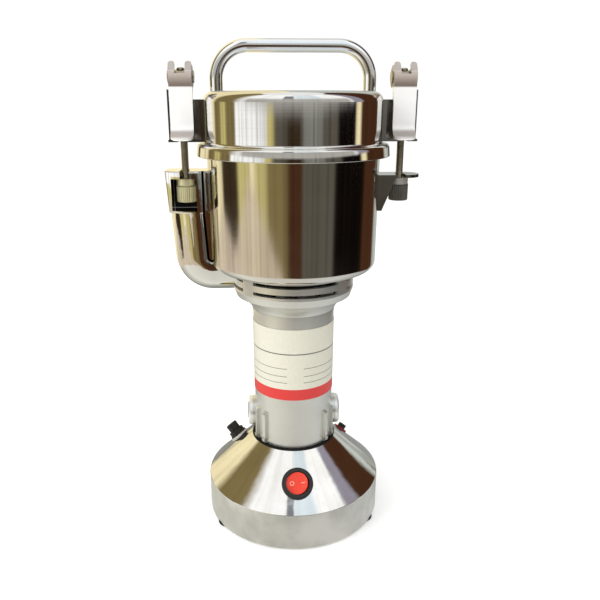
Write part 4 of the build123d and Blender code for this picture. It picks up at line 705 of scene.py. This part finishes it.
bpy.ops.mesh.primitive_circle_add(vertices=96, radius=0.42, fill_type="NGON", location=(0, 0, 0.0001))
table = bpy.context.object
table.name = "near_floor"
table_paint = Finish("near_floor_paint")
table_x, table_y = (table_paint.place.axis(letter) for letter in "XY")
table_turn = table_x.maths("ARCTAN2", 0 - table_y)
table_glow = table_turn.node("ValToRGB", {"stops": [
    (0, shade(120, 120, 116)), (0.12, shade(160, 159, 150)), (0.27, shade(240, 238, 226)),
    (0.5, shade(212, 209, 200)), (0.7, shade(214, 214, 211)), (0.86, shade(168, 169, 168)),
    (1, shade(120, 120, 116))]}, {0: table_turn * (1 / (2 * pi)) + 0.5})
table_light = table_glow.node("Emission", {}, {"Color": table_glow, "Strength": 1.0})
table_paint.tree.links.new(table_light.socket, table_paint.tree.nodes["Material Output"].inputs["Surface"])
table.data.materials.append(table_paint.material)
table.visible_camera = False
table.visible_diffuse = False
table.visible_shadow = False

CREAM = shade(240, 226, 182)
GOLD = shade(196, 184, 122)
OLIVE = shade(122, 108, 72)
BROWN = shade(70, 46, 32)
UMBER = shade(56, 46, 34)
GREY = shade(88, 84, 76)
BLACK = shade(18, 15, 15)
SMOKE = shade(142, 138, 150)
PEWTER = shade(128, 129, 124)
SILVER = shade(190, 194, 188)
ICE = shade(220, 232, 240)
WHITE = (1, 1, 1)
LOW_CARDS = (
    (-180, -112, CREAM), (-107, -82, UMBER), (-77, -62, GOLD), (-59, -55, CREAM), (-52, -39, GOLD),
    (-35, -14, OLIVE), (-8, 6, BROWN), (10, 49, GREY), (53, 98, BLACK), (104, 133, BROWN), (138, 180, SILVER))
EYE_CARDS = (
    (-180, -121, CREAM), (-116, -107, OLIVE), (-103, -97, GOLD), (-91, -80, OLIVE), (-78, -38, WHITE),
    (-34, -30, GOLD), (-24, -14, GREY), (-8, 4, UMBER), (12, 29, PEWTER), (34, 50, GREY), (55, 78, BLACK),
    (81, 86, CREAM), (90, 124, BROWN), (130, 180, SILVER))
TOP_CARDS = (
    (-180, -122, CREAM), (-113, -83, OLIVE), (-66, -8, WHITE), (2, 33, ICE), (38, 72, WHITE),
    (77, 90, SMOKE), (94, 132, BROWN), (140, 180, SILVER))
WINDOW_SILL = 0.12
CEILING_START = 0.38
CEILING_FULL = 0.46
bpy.ops.mesh.primitive_cylinder_add(vertices=128, radius=1.6, depth=6, end_fill_type="NOTHING",
                                    location=(0, 0, 1.4))
cards = bpy.context.object
cards.name = "reflector_cards"
bpy.ops.object.transform_apply(location=True)
card_paint = Finish("card_paint")
card_x, card_y, card_z = (card_paint.place.axis(letter) for letter in "XYZ")
card_turn = card_x.maths("ARCTAN2", 0 - card_y)
card_share = card_turn * (1 / (2 * pi)) + 0.5
bowl_view, lid_view, ceiling = (
    card_turn.node("ValToRGB", {"stops": [((edge + 180) / 360, colour) for start, end, colour in row
                                          for edge in (start, end)]}, {0: card_share})
    for row in (LOW_CARDS, EYE_CARDS, TOP_CARDS))
table_edge = 0
for middle, tip, spread in ((-62, -0.05, 120), (-114, -0.09, 150)):
    from_middle = (card_turn - radians(middle)).maths("ABSOLUTE")
    table_edge = table_edge + ((tip - card_z) * radians(spread) - from_middle).step(radians(-2), radians(9))
bowl_sight = (0.85 * table_edge).tint(bowl_view, shade(204, 188, 168))
streak = card_turn.between(radians(-17), radians(-3), radians(1.5)) * (1 - card_z.step(2.6, 2.85))
lit = card_z.step(WINDOW_SILL - 0.01, WINDOW_SILL).tint(bowl_sight, lid_view)
overhead = streak.tint(ceiling, shade(120, 125, 132))
dim = card_turn.between(radians(-66), radians(72), radians(6)) * (1 - card_z.step(0.8, 1.7))
glow = card_z.step(CEILING_START, CEILING_FULL).tint(lit, dim.tint(overhead, shade(172, 170, 166)))
clutter = card_paint.place.noise((9, 9, 0.12), detail=5, rough=0.62).step(0.44, 0.7)
room = (0.5 * clutter * (1 - 0.7 * card_z.step(CEILING_START, CEILING_FULL))).tint(glow, shade(40, 30, 18))
emission = room.node("Emission", {}, {"Color": room, "Strength": 1.25})
card_paint.tree.links.new(emission.socket, card_paint.tree.nodes["Material Output"].inputs["Surface"])
cards.data.materials.append(card_paint.material)
cards.visible_camera = False
cards.visible_diffuse = False
cards.visible_shadow = False

world = bpy.data.worlds.new("white_sky")
bpy.context.scene.world = world
world.use_nodes = True
sky = world.node_tree.nodes["Background"]
sky.inputs["Color"].default_value = (1, 1, 1, 1)
sky.inputs["Strength"].default_value = 1.02
LAMP_AIM = Vector((0, 0, 0.17))
LAMPS = (("key_lamp", (-1.2, -0.7, 0.9), 0.9, 13), ("top_lamp", (0, 0.3, 1.5), 1.0, 4))
for name, place, size, power in LAMPS:
    lamp = bpy.data.objects.new(name, bpy.data.lights.new(name, "AREA"))
    lamp.data.size = size
    lamp.data.energy = power
    lamp.location = place
    lamp.rotation_euler = (LAMP_AIM - Vector(place)).to_track_quat("-Z", "Y").to_euler()
    lamp.visible_camera = False
    lamp.visible_glossy = False
    bpy.context.scene.collection.objects.link(lamp)

camera = bpy.data.objects.new("camera", bpy.data.cameras.new("camera"))
bpy.context.scene.collection.objects.link(camera)
camera.location = (-0.02527, -0.4266, 0.29867)
camera.rotation_euler = (radians(72.276), 0, radians(-3.39))
camera.data.lens = 37.78
camera.data.sensor_width = 36
camera.data.shift_x = 0.011
camera.data.clip_start = 0.01
bpy.context.scene.camera = camera
bpy.context.scene.view_settings.view_transform = "Standard"
